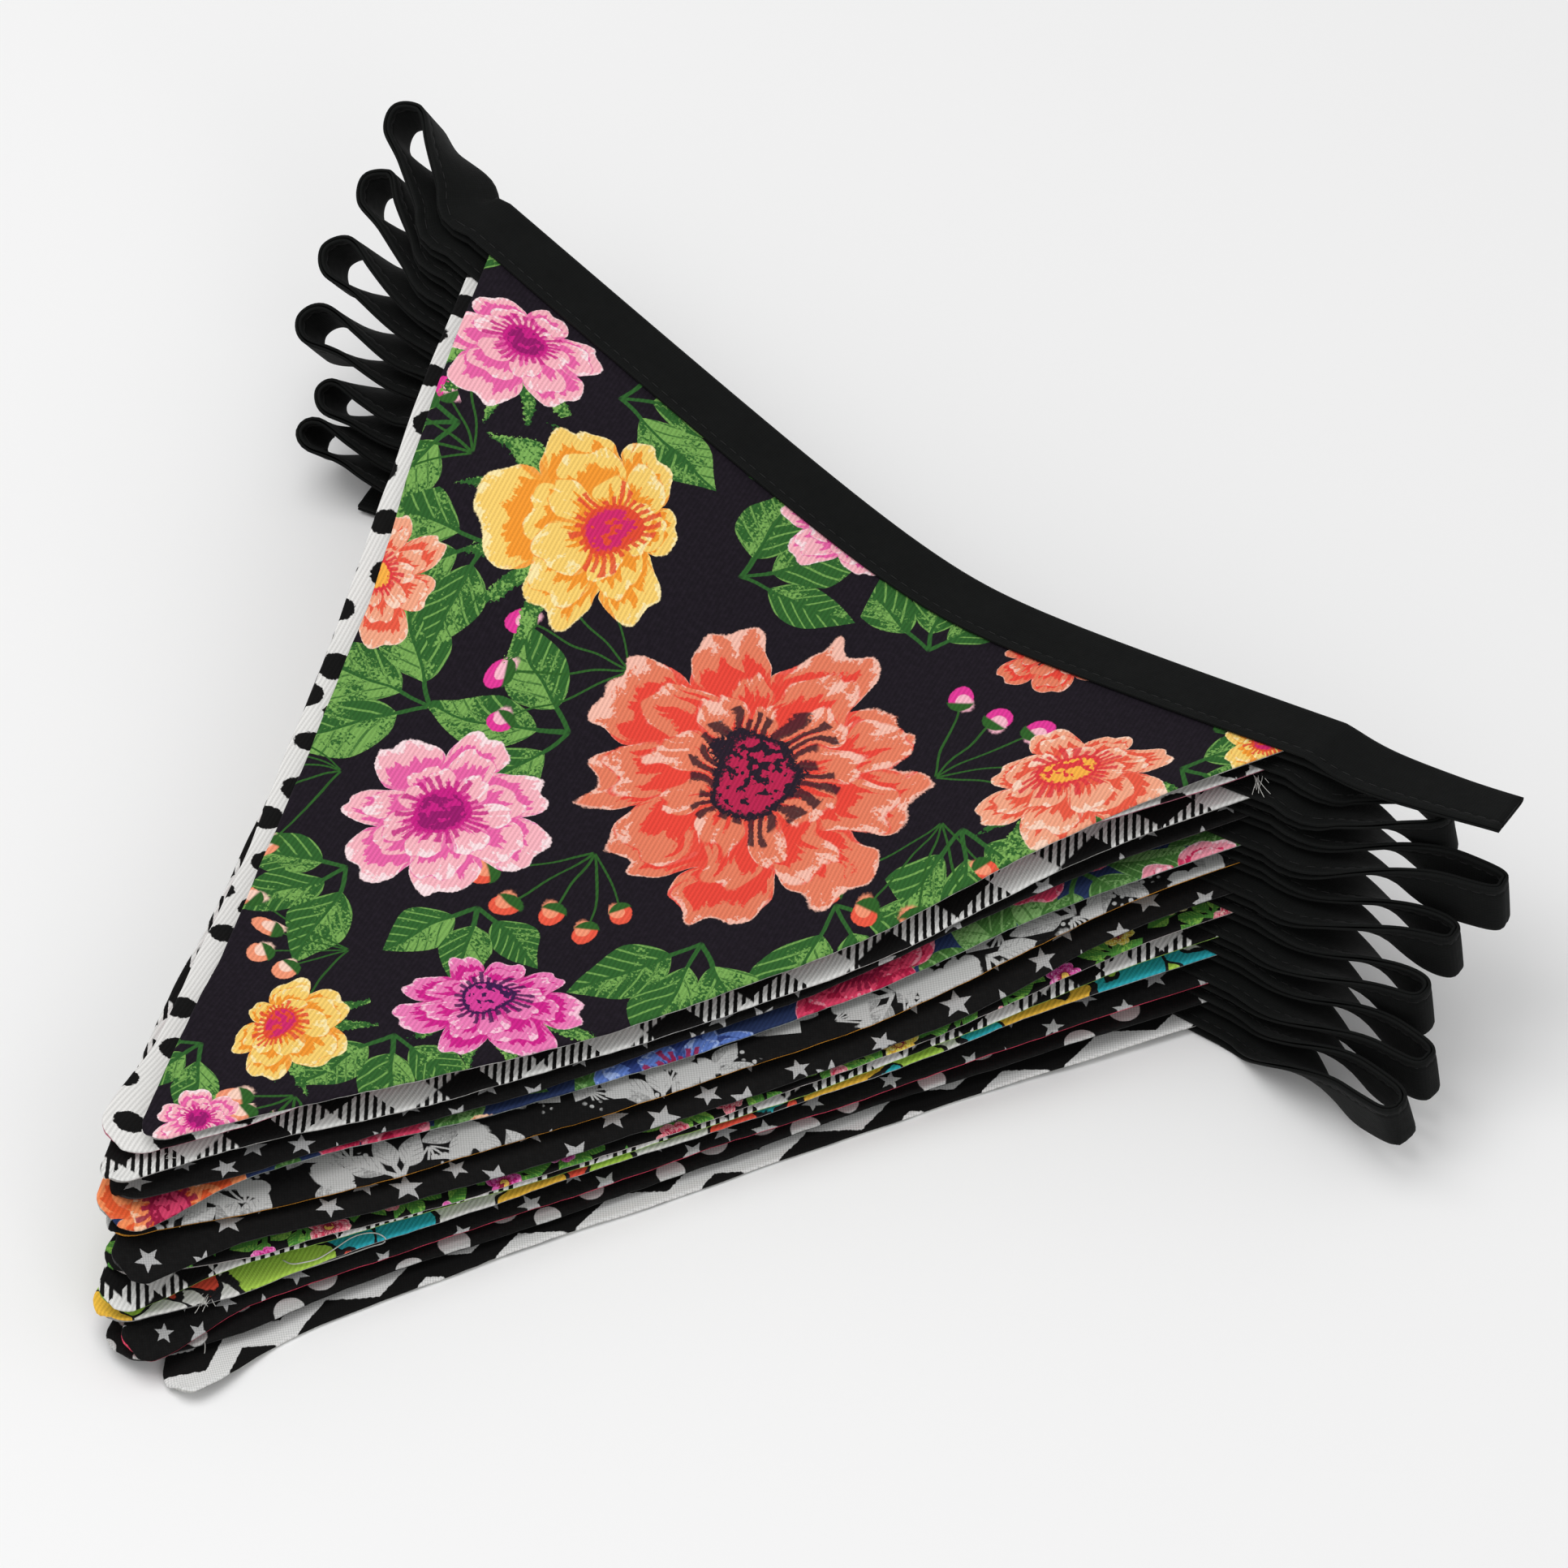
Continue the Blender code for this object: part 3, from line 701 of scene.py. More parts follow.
def startGroup(name, places, numbers, colours):
    tree = bpy.data.node_groups.new(name, "ShaderNodeTree")
    for kind, labels in (("Vector", places), ("Float", numbers), ("Color", colours)):
        for label in labels.split():
            tree.interface.new_socket(label, in_out="INPUT", socket_type="NodeSocket" + kind)
    tree.interface.new_socket("Color", in_out="OUTPUT", socket_type="NodeSocketColor")
    plan = Plan(tree)
    return plan, {socket.name: Ink(plan, socket) for socket in tree.nodes.new("NodeGroupInput").outputs}


def endGroup(plan, colour):
    plan.feed(plan.tree.nodes.new("NodeGroupOutput"), {"Color": colour})
    return plan.tree


def turned(plan, g, centre, scale, byX, byY):  # the place as its motif sees it, pushed about by slow noise
    sx, sy, _ = plan.split(g["Spot"])
    cx, cy, _ = plan.split(g[centre])
    x = sx - cx
    y = sy - cy
    cosine = plan.calc("COSINE", g["Turn"])
    sine = plan.calc("SINE", g["Turn"])
    wx, wy, _ = plan.split(plan.noise(g["Spot"], scale, 1.0, 1))
    return x * cosine + y * sine + (wx - 0.5) * byX, y * cosine - x * sine + (wy - 0.5) * byY


black = (0.0055, 0.0053, 0.0053)
greens = ((0.028, 0.115, 0.024), (0.20, 0.41, 0.095))
petalRings = (  # size, turn, seed, and from where outwards a petal shows
    (1.0, 0.0, 3.1, 0.78), (0.79, 0.5, 7.7, 0.70), (0.56, 0.25, 13.3, 0.46),
)
flowerSettings = {"sepals": 17.0, "spokes": 26.0, "heart": 0.262, "blot": 0.222}


def flowerGroup():  # an open flower of three rings of petals round a dark heart, with sepals where it is tilted
    plan, g = startGroup("openFlower", "Spot Centre", "Radius Turn Squash Petals Lift Seed",
                         "Under Deep Mid Pale Heart Glow")
    push = g["Radius"] * 0.30
    x, y = turned(plan, g, "Centre", 0.085, push, push)
    y = y / g["Squash"]
    away, angle = plan.polar(x, y)
    r = away / g["Radius"]
    around = angle / (2.0 * math.pi) + 0.5
    front = y / (away + 0.001)
    grain = plan.grain(g["Spot"], 1.5, 3.0)
    patch = plan.grain(g["Spot"], 0.22)
    k = around * flowerSettings["sepals"] + grain * 0.3
    spike = 1.0 - abs(k - plan.calc("FLOOR", k) - 0.5) * 1.3
    collar = spike * (g["Lift"] + 1.20) * plan.step(front, -0.40, -0.62)
    sepal = plan.step(collar - r, 0.0, 0.02) * plan.step(g["Lift"], 0.19, 0.21)
    colour = plan.mix(sepal, g["Under"], plan.mix(plan.step(grain + patch, -0.05, 0.12), *greens))
    for scale, phase, shift, inner in petalRings:
        k = around * g["Petals"] + (phase + shift)
        whole = plan.calc("FLOOR", k)
        f = k - whole - 0.5
        which = plan.calc("FLOORED_MODULO", whole, g["Petals"])
        luck = plan.chance(which, g["Seed"], shift)
        aside = abs(f) * 2.0
        notch = plan.step(aside, 0.34, 0.0) * 0.06
        rim = (luck * 0.20 + 0.82) * (1.0 - aside**2.6 * 0.34 - notch) * (1.0 - g["Lift"] * front) * scale
        mask = plan.step(rim - r + grain * 0.035, -0.006, 0.010)
        seen = (r / rim - inner) / (1.0 - inner)
        streak = plan.grain(plan.place(f * 9.0 + which * 3.7, r * 1.5 + g["Seed"], shift), 1.0)
        tone = seen + streak * 1.9 + grain * 0.45 + (luck - 0.5) * 0.30
        dark = plan.step(tone, 0.28, 0.16)
        side = plan.step(aside + streak * 1.1 + grain * 0.2, 0.80, 0.92)
        pale = plan.step(tone + patch * 1.5 + grain * 0.5, 0.86, 1.02)
        petal = plan.mix(pale * 0.9, g["Mid"], g["Pale"])
        petal = plan.mix(plan.calc("MAXIMUM", dark, side * 0.9), petal, g["Deep"])
        line = plan.step(rim - r, 0.020, 0.004) * plan.step(streak, 0.10, -0.04)
        petal = plan.mix(line * 0.9, petal, g["Deep"] if scale < 1.0 else g["Pale"])
        colour = plan.mix(mask, colour, petal)
    k = around * flowerSettings["spokes"] + grain * 0.5
    whole = plan.calc("FLOOR", k)
    luck = plan.chance(plan.calc("FLOORED_MODULO", whole, flowerSettings["spokes"]), g["Seed"], 5.0)
    spoke = plan.step(abs(k - whole - 0.5), 0.36, 0.22) * plan.step(r - luck * 0.15, 0.30, 0.285)
    colour = plan.mix(spoke * 0.9, colour, g["Heart"])
    heart = r + grain * 0.09 + patch * 0.05
    colour = plan.mix(plan.step(heart, flowerSettings["heart"], 0.247), colour, g["Heart"])
    blot = plan.step(plan.noise(g["Spot"], 0.55) - front * 0.05, 0.43, 0.47)
    return endGroup(plan, plan.mix(blot * plan.step(heart, flowerSettings["blot"], 0.20), colour, g["Glow"]))


def branch(plan, x, y, spread, sides):  # of the branches that fan out, the one at a place
    away, angle = plan.polar(x, y)
    return away, angle, plan.between(plan.calc("ROUND", angle / spread), -sides, sides)


leafSettings = {"bend": (4.0, 6.0), "stem": (0.5, 0.45), "from": 0.22, "half": 0.235, "ribs": 0.125}


def leafGroup():  # a spray of one to three veined leaves on a stem
    plan, g = startGroup("leafSpray", "Spot Base", "Turn Length Spread Sides Seed", "Under Dark Light")
    x, y = turned(plan, g, "Base", 0.06, *leafSettings["bend"])
    away, angle, which = branch(plan, x, y, g["Spread"], g["Sides"])
    along, across = plan.flat(away, angle - which * g["Spread"])
    aside = abs(across)
    luck = plan.chance(which, g["Seed"], 2.0)
    length = g["Length"] * (luck * 0.2 + 0.85)
    grain = plan.grain(g["Spot"], 1.6, 3.0)
    shade = plan.grain(g["Spot"], 0.16)
    stemEnd, stemFade = leafSettings["stem"]
    stem = plan.step(aside + grain * 0.2, 0.55, 0.35) * plan.step(along, length * stemEnd, length * stemFade)
    colour = plan.mix(stem * plan.step(along, -0.5, 0.5), g["Under"], g["Dark"])
    inside = plan.between((along / length - leafSettings["from"]) / (1.0 - leafSettings["from"]), 0.0, 1.0)
    half = plan.calc("SINE", inside**0.80 * math.pi) * length * leafSettings["half"]
    mask = plan.step(half - aside + grain * 0.25, 0.0, 0.18)
    upper = plan.step(across, -0.3, 0.3)
    rib = plan.calc("FRACT", (along - aside * 1.15) / (length * leafSettings["ribs"]))
    vein = plan.step(abs(rib - 0.5) + grain * 0.12, 0.115, 0.065) * plan.step(aside, 0.25, 0.7)
    light = plan.step(upper * 0.26 + shade * 1.3 + grain * 1.1 + (luck - 0.5) * 0.3, 0.16, 0.34)
    leaf = plan.mix(light * 0.9, g["Dark"], g["Light"])
    leaf = plan.mix(vein * 0.8, leaf, plan.mix(light, g["Light"], g["Dark"]))
    leaf = plan.mix(plan.step(aside, 0.40, 0.22), leaf, g["Dark"])
    return endGroup(plan, plan.mix(mask, colour, leaf))


budSettings = {"bend": (5.0, 8.0), "spread": 0.42, "sides": 2.0, "long": 3.0, "wide": 2.3}


def budGroup():  # thin stems that fan out, each with a bud at its end
    plan, g = startGroup("budSpray", "Spot Base", "Turn Length Seed", "Under Stem Bud Tip")
    x, y = turned(plan, g, "Base", 0.05, *budSettings["bend"])
    away, angle, which = branch(plan, x, y, budSettings["spread"], budSettings["sides"])
    luck = plan.chance(which, g["Seed"], 4.0)
    along, across = plan.flat(away, angle - (which * budSettings["spread"] + (luck - 0.5) * 0.16))
    length = g["Length"] * (luck * 0.45 + 0.6)
    grain = plan.grain(g["Spot"], 1.5)
    stem = plan.step(abs(across) + grain * 0.12, 0.30, 0.16) * plan.step(along, length, length - 0.5)
    colour = plan.mix(stem * plan.step(along, 0.0, 0.6), g["Under"], g["Stem"])
    u = (along - length) / budSettings["long"]
    v = across / (luck * 0.6 + budSettings["wide"])
    ball = plan.away(u, v) + grain * 0.16
    cup = plan.step(ball, 1.15, 1.02) * plan.step(u, -0.25, -0.45)
    colour = plan.mix(plan.step(ball, 1.0, 0.9), colour, g["Bud"])
    colour = plan.mix(plan.step(ball + u * 0.5 + v * 0.4, 0.55, 0.40), colour, g["Tip"])
    return endGroup(plan, plan.mix(cup, colour, g["Stem"]))


flower = flowerGroup()
leaf = leafGroup()
buds = budGroup()

flowerPalettes = (  # coral, yellow, pink, peach and magenta: deep, mid, pale, heart, glow
    ((0.78, 0.06, 0.04), (0.76, 0.20, 0.11), (0.90, 0.52, 0.42), (0.020, 0.012, 0.022), (0.47, 0.018, 0.075)),
    ((0.86, 0.30, 0.03), (0.90, 0.60, 0.15), (0.94, 0.78, 0.40), (0.74, 0.070, 0.032), (0.62, 0.022, 0.14)),
    ((0.78, 0.12, 0.36), (0.90, 0.44, 0.50), (0.93, 0.74, 0.76), (0.56, 0.015, 0.22), (0.30, 0.010, 0.14)),
    ((0.78, 0.10, 0.055), (0.86, 0.37, 0.23), (0.93, 0.66, 0.52), (0.70, 0.040, 0.050), (0.90, 0.42, 0.06)),
    ((0.60, 0.016, 0.24), (0.80, 0.19, 0.44), (0.92, 0.56, 0.68), (0.045, 0.010, 0.070), (0.66, 0.05, 0.30)),
)
topFlowers = (  # x, y, radius, turn, squash, petals, lift, palette
    (21, -70, 38.0, 0.4, 0.96, 9, 0.04, 0), (-38, -45, 25.5, 5.4, 0.80, 6, 0.30, 1),
    (-19, -113, 22.5, 1.1, 0.92, 7, 0.10, 2), (71, -38, 21.0, 0.9, 0.76, 7, 0.26, 3),
    (19, -142, 18.5, 0.9, 0.78, 8, 0.24, 4), (-3, -175, 15.5, 1.8, 0.76, 6, 0.32, 1),
    (-80, -23, 18.5, 0.2, 0.80, 6, 0.24, 2), (-67, -80, 15.5, 1.2, 0.90, 7, 0.12, 3),
    (47, -13, 14.0, 0.9, 0.86, 7, 0.16, 0), (-3, -12, 18.5, 4.0, 0.86, 6, 0.14, 2),
    (4, -204, 9.5, 1.0, 0.90, 6, 0.10, 2), (96, -11, 11.5, 2.0, 0.90, 6, 0.10, 1),
)
topLeaves = (  # x, y, heading in degrees, length, spread
    (54, -84, -28, 34, 0.80), (40, -106, -72, 30, 0.75), (-14, -84, 205, 28, 0.9), (-54, -62, 238, 27, 0.8),
    (-38, -96, 190, 30, 0.8), (-12, -38, 62, 28, 0.8), (-58, -20, 35, 28, 0.8), (88, -27, 15, 26, 0.8),
    (64, -60, -45, 28, 0.8), (-22, -136, 245, 28, 0.8), (2, -126, 300, 22, 0.8), (12, -162, -48, 24, 0.8),
    (-9, -190, 262, 20, 0.8), (26, -28, 118, 26, 0.8), (-92, -10, 150, 22, 0.8), (-76, -46, 225, 26, 0.8),
)
topBuds = (  # x, y, heading in degrees, length
    (58, -60, -60, 26), (-14, -66, 192, 26), (-28, -18, 72, 26), (-40, -118, 222, 22), (8, -101, -78, 24),
    (86, -14, 60, 16), (-8, -150, 232, 22), (50, -52, 70, 24), (-70, -50, 178, 22), (10, -187, -75, 14),
)
budColours = (
    ((0.80, 0.10, 0.055), (0.86, 0.30, 0.17), (0.74, 0.04, 0.30)),
    ((0.88, 0.30, 0.17), (0.93, 0.62, 0.50), (0.90, 0.46, 0.56)),
)


def nearest(plan, spot, motifs):  # of the motifs, the place and the numbers of the one that is nearest
    best = found = None
    for x, y, size, *numbers in motifs:
        own = [(x, y, 0.0), *numbers]
        reach = plan.put("VectorMath", {0: spot, 1: own[0]}, 1, operation="DISTANCE") / size
        if found is None:
            best, found = reach, own
            continue
        closer = plan.calc("LESS_THAN", reach, best)
        best = plan.calc("MINIMUM", reach, best)
        found = [plan.mixPlace(closer, old, new) for old, new in zip(found, own)]
    return found


def sprays(rows, share, seedStep):  # each spray as a motif round its own middle
    motifs = []
    for number, (x, y, heading, length, *spread) in enumerate(rows, 1):
        turn = math.radians(heading)
        reach = length * share
        motifs.append((x + reach * math.cos(turn), y + reach * math.sin(turn), reach, (x, y, turn),
                       (length, seedStep * number, *(spread or (0.0,)))))
    return motifs


def nearestSpray(plan, spot, motifs):
    _, where, what = nearest(plan, spot, motifs)
    x, y, turn = plan.split(where)
    return {"Spot": spot, "Base": plan.place(x, y), "Turn": turn}, plan.split(what)


def gardenPrint(plan, spot, colour):  # the top flag: a garden of open flowers on a dark ground
    leaves = sprays(topLeaves, 0.5, 1.7)
    for group in (leaves[0::2], leaves[1::2]):
        where, (length, seed, spread) = nearestSpray(plan, spot, group)
        colour = plan.use(leaf, **where, Length=length, Spread=spread, Sides=1.0, Seed=seed, Under=colour,
                          Dark=greens[0], Light=greens[1])
    where, (length, seed, _) = nearestSpray(plan, spot, sprays(topBuds, 0.6, 2.3))
    tint = plan.chance(seed, 1.0, 1.0)
    bud, tip = (plan.pick(tint, colours) for colours in budColours)
    colour = plan.use(buds, **where, Length=length, Seed=seed, Under=colour, Stem=(0.028, 0.11, 0.02),
                      Bud=bud, Tip=tip)
    motifs = [(x, y, radius, (radius, turn, squash), (petals, lift, seed + 100.0 * palette))
              for seed, (x, y, radius, turn, squash, petals, lift, palette) in enumerate(topFlowers, 1)]
    centre, first, second = nearest(plan, spot, motifs)
    radius, turn, squash = plan.split(first)
    petals, lift, code = plan.split(second)
    which = plan.calc("FLOOR", code / 100.0)
    share = (which + 0.5) / len(flowerPalettes)
    inks = [plan.pick(share, column) for column in zip(*flowerPalettes)]
    return plan.use(flower, Spot=spot, Centre=centre, Radius=radius, Turn=turn, Squash=squash, Petals=petals,
                    Lift=lift, Seed=code - which * 100.0, Under=colour,
                    **dict(zip(("Deep", "Mid", "Pale", "Heart", "Glow"), inks)))


def cells(plan, spot, size, slant, seed):  # a slanted grid: the place, its cell's centre, and random numbers
    x, y, _ = plan.split(spot)
    x, y = x * math.cos(slant) + y * math.sin(slant), y * math.cos(slant) - x * math.sin(slant)
    row = plan.calc("FLOOR", y / size)
    x = x + plan.calc("FLOORED_MODULO", row, 2.0) * (size * 0.5)
    column = plan.calc("FLOOR", x / size)
    luck = plan.split(plan.chance(column, row, seed, out=1))
    return x, y, (column + 0.5) * size, (row + 0.5) * size, luck


def scatter(plan, spot, size, slant, seed, loose):  # a place as its cell's motif sees it, and random numbers
    x, y, cx, cy, luck = cells(plan, spot, size, slant, seed)
    return x - cx + (luck[0] - 0.5) * (size * loose), y - cy + (luck[1] - 0.5) * (size * loose), luck


def starPrint(plan, spot, ground, size, radius, seed, ink=(0.42, 0.42, 0.42)):
    x, y, luck = scatter(plan, spot, size, 0.5, seed, 0.35)
    away, angle = plan.polar(x, y)
    fifth = math.pi / 5.0
    own = abs(plan.calc("FLOORED_MODULO", angle + luck[2] * 6.2832, 2.0 * fifth) - fifth)
    full = luck[0] * (radius * 0.3) + radius * 0.8
    inner = full * 0.43
    slope = inner * plan.calc("SINE", fifth - own) + full * plan.calc("SINE", own)
    edge = full * inner * math.sin(fifth) / slope - away
    return plan.mix(plan.step(edge + plan.grain(spot, 1.8) * 0.45, -0.10, 0.12), ground, ink)


def dotPrint(plan, spot, ground, ink, size, radius, seed, ragged, stretch=1.0):
    x, y, luck = scatter(plan, spot, size, 0.35, seed, 0.3)
    edge = luck[2] * (radius * 0.35) + radius * 0.8 - plan.away(x / stretch, y)
    return plan.mix(plan.step(edge + plan.grain(spot, 1.1, 3.0) * ragged * 2.2, -0.10, 0.12), ground, ink)


def checkPrint(plan, spot, size, hatch=1.55, light=(0.72, 0.72, 0.70)):
    x, y, _ = plan.split(spot)
    grain = plan.grain(spot, 1.3, 3.0) * 0.55
    soft = 0.12 / size
    a, b = (plan.step(plan.calc("FRACT", (v + grain) / (2.0 * size)), 0.5 - soft, 0.5 + soft) for v in (x, y))
    lines = plan.calc("FRACT", (x * 0.77 + y * 0.64 + grain * 0.5) / hatch)
    lines = plan.step(abs(lines - 0.5), 0.22, 0.30)
    return plan.mix(a * b + (a + b - a * b * 2.0) * lines, light, black)


def slantPrint(plan, spot, width, light=(0.70, 0.70, 0.69)):
    x, y, _ = plan.split(spot)
    bend = abs(plan.calc("FRACT", (x * 0.5 + y * 0.86) / (width * 1.9)) - 0.5) * (width * 0.9)
    stripe = plan.calc("FRACT", (x * 0.94 - y * 0.34 + bend + plan.grain(spot, 1.0, 3.0) * 0.8) / width)
    return plan.mix(plan.step(abs(stripe - 0.5), 0.235, 0.255), black, light)


def rosePrint(plan, spot, ground, size, tints, heart, glow, petals, seed, fill):
    x, y, cx, cy, (a, b, c) = cells(plan, spot, size, 0.3, seed)
    tint = plan.calc("FRACT", a + c)
    deep, mid, pale = (plan.pick(tint, row) for row in tints)
    return plan.use(flower, Spot=plan.place(x, y), Centre=plan.place(cx, cy), Turn=a * 6.28, Squash=0.92,
                    Radius=c * (size * 0.10) + size * fill, Petals=petals, Lift=0.08, Seed=b * 9.0,
                    Under=ground, Deep=deep, Mid=mid, Pale=pale, Heart=heart, Glow=glow)


def leafPrint(plan, spot, ground, size, dark, light, seed, length):
    x, y, cx, cy, (a, b, _) = cells(plan, spot, size, 0.8, seed)
    turn = a * 6.28
    reach = size * length
    cx, cy = (c - plan.calc(wave, turn) * (reach * 0.55) for c, wave in ((cx, "COSINE"), (cy, "SINE")))
    return plan.use(leaf, Spot=plan.place(x, y), Base=plan.place(cx, cy), Turn=turn, Length=reach, Spread=0.85,
                    Sides=1.0, Seed=b * 9.0, Under=ground, Dark=dark, Light=light)


def meadowPrint(plan, spot, ground, ink=(0.50, 0.50, 0.49)):
    colour = leafPrint(plan, spot, ground, 15.0, ink, scaled(ink, 0.55), 3.0, 0.8)
    x, y, cx, cy, (a, b, _) = cells(plan, spot, 13.0, 0.8, 5.0)
    colour = plan.use(buds, Spot=plan.place(x, y), Base=plan.place(cx, cy - 4.0), Turn=a * 6.28, Length=8.0,
                      Seed=b * 9.0, Under=colour, Stem=ink, Bud=ink, Tip=ink)
    fine = dotPrint(plan, spot, colour, ink, 1.7, 0.42, 1.0, 0.05)
    return plan.mix(plan.step(plan.noise(spot, 0.11, 1.0), 0.56, 0.60), colour, fine)


def brightPrint(plan, spot, colours, scale=0.09, push=14.0):
    wx, wy, _ = plan.split(plan.noise(spot, 0.12, 1.0, 1))
    x, y, _ = plan.split(spot)
    values = {"Vector": plan.place(x * 0.6 + wx * push, y + wy * push), "Scale": scale}
    tint = plan.put("TexVoronoi", values, "Color", voronoi_dimensions="2D")
    gap = plan.put("TexVoronoi", values, voronoi_dimensions="2D", feature="DISTANCE_TO_EDGE")
    line = plan.step(gap + plan.grain(spot, 1.2) * 0.05, 0.05, 0.035)
    return plan.mix(line, plan.pick(plan.split(tint)[0], colours), (0.015, 0.014, 0.016))


roses = (  # deep, mid and pale, each in five tints
    ((0.42, 0.012, 0.055), (0.62, 0.02, 0.10), (0.030, 0.055, 0.22), (0.42, 0.012, 0.055), (0.72, 0.10, 0.03)),
    ((0.72, 0.055, 0.13), (0.84, 0.30, 0.38), (0.11, 0.20, 0.56), (0.72, 0.055, 0.13), (0.86, 0.26, 0.10)),
    ((0.86, 0.30, 0.38), (0.93, 0.62, 0.68), (0.36, 0.48, 0.80), (0.90, 0.46, 0.52), (0.93, 0.60, 0.40)),
)
sprigs = (
    ((0.50, 0.02, 0.20), (0.70, 0.42, 0.05), (0.60, 0.05, 0.10)),
    ((0.74, 0.12, 0.42), (0.80, 0.70, 0.12), (0.78, 0.25, 0.30)),
    ((0.84, 0.42, 0.62), (0.85, 0.80, 0.40), (0.88, 0.55, 0.5)),
)
brights = (
    (0.03, 0.42, 0.50), (0.42, 0.66, 0.09), (0.72, 0.72, 0.69), (0.82, 0.09, 0.055), (0.03, 0.42, 0.50),
    (0.86, 0.50, 0.06),
)


def blackGround(plan, spot, tint=black):
    return plan.mix(plan.step(plan.noise(spot, 0.9, 3.0), 0.35, 0.75) * 0.5, tint, scaled(tint, 1.9))


def sprigPrint(plan, spot, ground):
    colour = leafPrint(plan, spot, ground, 9.0, (0.07, 0.24, 0.04), (0.25, 0.50, 0.08), 2.0, 0.9)
    return rosePrint(plan, spot, colour, 12.0, sprigs, (0.30, 0.02, 0.05), (0.8, 0.5, 0.1), 5.0, 6.0, 0.30)


def roseGarden(plan, spot):
    blue, dark, light = (0.02, 0.035, 0.10), (0.055, 0.16, 0.035), (0.20, 0.38, 0.13)
    colour = leafPrint(plan, spot, blue, 26.0, dark, light, 4.0, 0.95)
    return rosePrint(plan, spot, colour, 36.0, roses, (0.30, 0.01, 0.05), (0.62, 0.05, 0.13), 5.0, 2.0, 0.47)


nightGround = (0.0095, 0.0068, 0.0110)
dotWhite = (0.76, 0.75, 0.73)
dotGrey = (0.50, 0.50, 0.49)
flagPrints = (  # what each flag shows on its upper cloth, its lower cloth's colour, and how it is woven
    (lambda p, s: gardenPrint(p, s, blackGround(p, s, nightGround)), (0.50, 0.49, 0.47), "twill"),
    (lambda p, s: dotPrint(p, s, dotWhite, black, 10.5, 2.9, 4.0, 0.5, 1.25), (0.66, 0.22, 0.30), "twill"),
    (lambda p, s: checkPrint(p, s, 9.2), (0.55, 0.54, 0.52), "twill"),
    (lambda p, s: starPrint(p, s, blackGround(p, s), 8.6, 2.7, 1.0), (0.05, 0.05, 0.05), "plain"),
    (roseGarden, (0.42, 0.46, 0.44), "twill"),
    (lambda p, s: meadowPrint(p, s, blackGround(p, s)), (0.84, 0.36, 0.04), "plain"),
    (lambda p, s: starPrint(p, s, blackGround(p, s), 9.4, 3.0, 3.0), (0.05, 0.05, 0.05), "plain"),
    (lambda p, s: sprigPrint(p, s, blackGround(p, s)), (0.50, 0.46, 0.45), "plain"),
    (lambda p, s: checkPrint(p, s, 5.4, 1.7), (0.30, 0.50, 0.10), "twill"),
    (lambda p, s: brightPrint(p, s, brights), (0.45, 0.45, 0.44), "twill"),
    (lambda p, s: starPrint(p, s, blackGround(p, s), 8.8, 2.6, 5.0), (0.70, 0.06, 0.12), "plain"),
    (lambda p, s: dotPrint(p, s, blackGround(p, s), dotGrey, 9.6, 2.9, 7.0, 0.12), (0.03, 0.03, 0.03), "plain"),
    (lambda p, s: slantPrint(p, s, 10.5), (0.50, 0.50, 0.48), "plain"),
)
# thread step in mm, bump depth in metres, and tone: how strongly the threads' painted shade lightens and
# darkens the colour
weaves = {
    "twill": {"step": 0.86, "depth": 0.00009, "tone": 0.34},
    "plain": {"step": 0.72, "depth": 0.00006, "tone": 0.46},
}


def startMaterial(name):
    material = bpy.data.materials.new(name)
    material.use_nodes = True
    return material, Plan(material.node_tree), material.node_tree.nodes["Principled BSDF"]


def clothFinish(plan, shader, colour, height, depth, gloss):
    plan.feed(shader, {
        "Base Color": colour, "Roughness": plan.noise(plan.cloth(), 0.6) * 0.16 + 0.76,
        "Normal": plan.put("Bump", {"Strength": 0.7, "Distance": depth, "Height": height}),
        "Sheen Weight": 0.015, "Sheen Roughness": 0.45, "Specular IOR Level": gloss,
    })


def weave(plan, x, y, kind):  # the height of the threads, round 0.5
    turn = 2.0 * math.pi / weaves[kind]["step"]
    fuzz = plan.grain(plan.place(x, y), 2.6, 3.0)
    if kind == "twill":
        ribs = plan.calc("SINE", (x * 0.96 + y * 0.28 + fuzz * 0.20) * turn)
        threads = plan.calc("SINE", (x * 0.28 - y * 0.96) * (turn * 1.7))
        return ribs * 0.36 + threads * ribs * 0.14 + fuzz * 0.5 + 0.5
    warp = plan.calc("SINE", (x + fuzz * 0.10) * turn)
    weft = plan.calc("SINE", (y + fuzz * 0.10) * turn)
    return warp * weft * 0.44 + fuzz * 0.6 + 0.5


def clothMaterial(index):
    paint, back, kind = flagPrints[index]
    material, plan, shader = startMaterial(f"flag_{index + 1:02d}_print")
    spot = plan.cloth()
    x, y, _ = plan.split(spot)
    side = plan.put("Attribute", {}, "Fac", attribute_name="side")
    under = plan.mix(plan.step(plan.noise(spot, 0.10), 0.46, 0.54), back, scaled(back, 0.6))
    colour = plan.mix(plan.step(side, -0.02, -0.30), paint(plan, spot), under)
    height = weave(plan, x, y, kind)
    # painted shade in the weave: thread tops lighter and the hollows between threads darker, with random tone
    # from slow noise
    tone = (height - 0.5) * weaves[kind]["tone"] + plan.noise(spot, 0.05) * 0.12 + 0.94
    colour = plan.put("HueSaturation", {"Value": tone, "Color": colour})
    clothFinish(plan, shader, colour, height, weaves[kind]["depth"], 0.10)
    return material


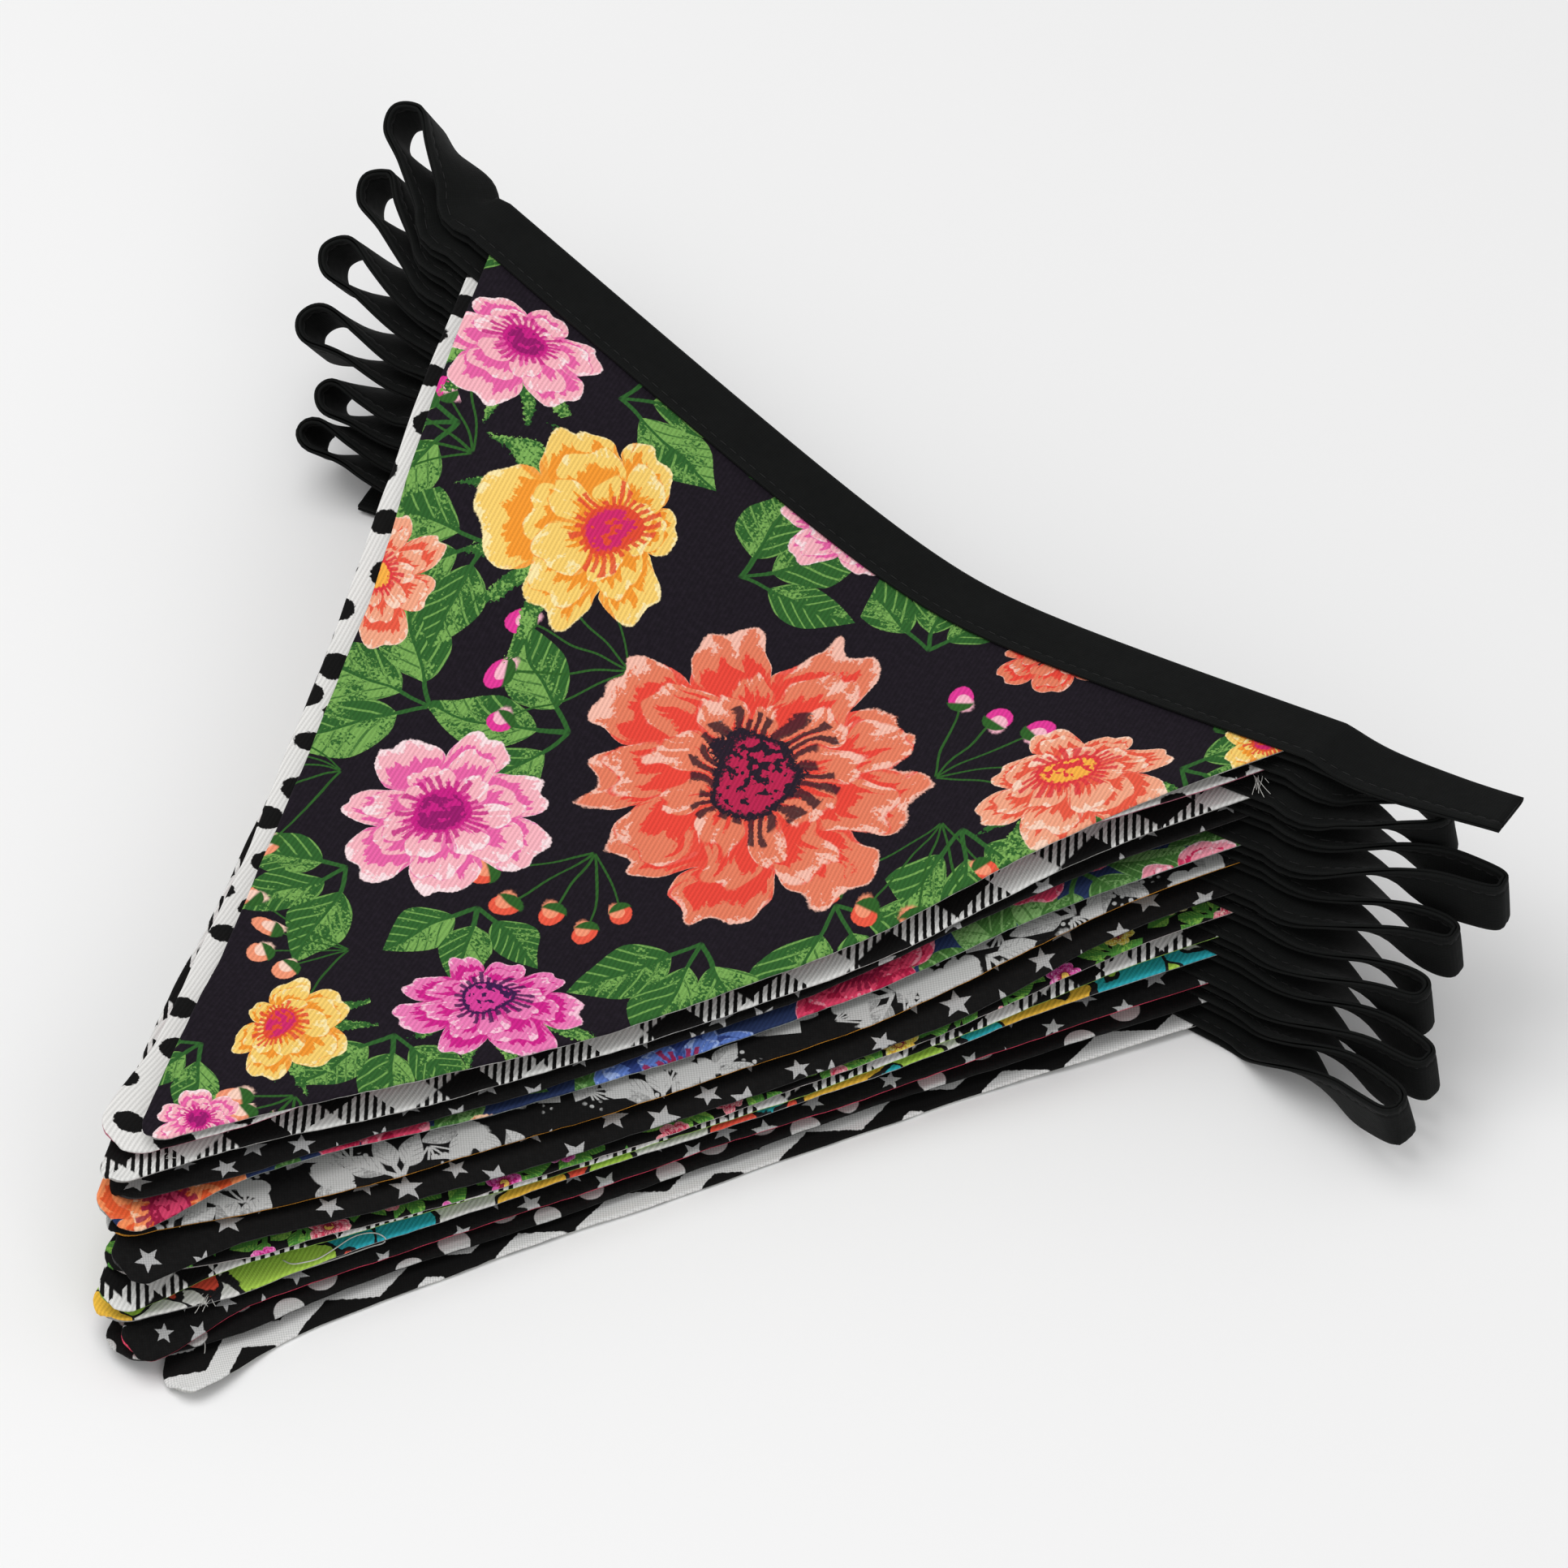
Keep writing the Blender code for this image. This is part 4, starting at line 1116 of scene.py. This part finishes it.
def tapeMaterial():
    material, plan, shader = startMaterial("tape_cotton")
    spot = plan.cloth()
    x, y, _ = plan.split(spot)
    across = plan.calc("FLOORED_MODULO", y + 3.0, tapeSettings["underSide"]) - 3.0
    height = weave(plan, x * 0.7 + y * 0.7, x * 0.7 - y * 0.7, "plain")
    # painted highlight: the fold and the open edge of the tape are painted lighter, where they catch the light
    paintedEdgeHighlight = plan.step(across, 10.9, 11.6) + plan.step(across, 0.2, -0.6)
    # the tape's colour: random mottling from slow noise, painted shade from the threads' height (tops lighter,
    # the hollows between them darker), and the painted edge highlight
    share = plan.noise(spot, 0.14, 3.0) * 0.5 + height * 0.35 + paintedEdgeHighlight * 0.35 - 0.25
    colour = plan.mix(share, (0.0026, 0.0030, 0.0028), (0.0085, 0.0092, 0.0088))
    off = (across - tapeSettings["stitchLine"]) / 0.55
    row = plan.calc("EXPONENT", -(off * off))
    pull = plan.calc("COSINE", x * (2.0 * math.pi / stitchSettings["step"])) * 0.5 + 0.5
    height = height * 0.5 - row * (pull * 1.5 + 0.8) + plan.noise(spot, 0.35) * 1.6
    clothFinish(plan, shader, colour, height, 0.00010, 0.12)
    return material


def threadMaterial(name, colour):
    material, plan, shader = startMaterial(name)
    twist = plan.noise(plan.put("TexCoord", {}, "Object"), 2600.0)
    plan.feed(shader, {
        "Base Color": plan.mix(twist, scaled(colour, 0.7), scaled(colour, 1.25)),
        "Normal": plan.put("Bump", {"Strength": 0.5, "Distance": 0.00004, "Height": twist}),
        "Roughness": 0.6, "Specular IOR Level": 0.25,
    })
    return material


def paperMaterial():
    material, plan, shader = startMaterial("floor_paper")
    plan.feed(shader, {"Base Color": (0.93, 0.93, 0.93), "Roughness": 0.9, "Specular IOR Level": 0.1})
    return material


print("prints set")

flags = [makeFlag(i, clothMaterial(i)) for i in range(flagCount)]
print("flags made")
frames = tapeFrames()
tape = makeTape(frames, tapeMaterial())
stitches = makeStitches(frames, threadMaterial("tape_thread", (0.006, 0.006, 0.006)))

threads = makeThreads(threadMaterial("loose_thread", (0.60, 0.59, 0.56)))
print("threads made")

frayedFlag = 9  # the flag that the loose thread lies on
for i, flag in enumerate(flags):
    base = stack["base"] * flagRows["width"][i] * mm
    depth = stack["depth"] * flagRows["length"][i] * mm
    [flags[i + 1]] if i + 1 < flagCount else ()
    [threads] if i == frayedFlag else ()
    (base + stack["point"] * mm) * depth / 2.0

stageSettings = {
    "floor": 4.0, "sky": 0.52,
    "lamps": (("overhead", (-0.35, -0.25, 1.3), 1.2, 10.0), ("side", (1.2, -0.6, 0.8), 0.8, 3.4)),
}


def makeStage(settings):
    far = settings["floor"]
    mesh = bpy.data.meshes.new("floor")
    mesh.from_pydata([(-far, -far, 0), (far, -far, 0), (far, far, 0), (-far, far, 0)], [], [(0, 1, 2, 3)])
    mesh.materials.append(paperMaterial())
    addObject("floor", mesh)
    world = bpy.data.worlds.new("studio")
    world.use_nodes = True
    sky = {"Color": (1.0, 1.0, 1.0), "Strength": settings["sky"]}
    Plan(world.node_tree).feed(world.node_tree.nodes["Background"], sky)
    bpy.context.scene.world = world
    bpy.context.scene.view_settings.view_transform = "Standard"
    for name, place, size, power in settings["lamps"]:
        data = bpy.data.lights.new(name, "AREA")
        data.size = size
        data.energy = power
        light = addObject(name, data)
        light.location = place
        aim(light, Vector(place))


makeStage(stageSettings)
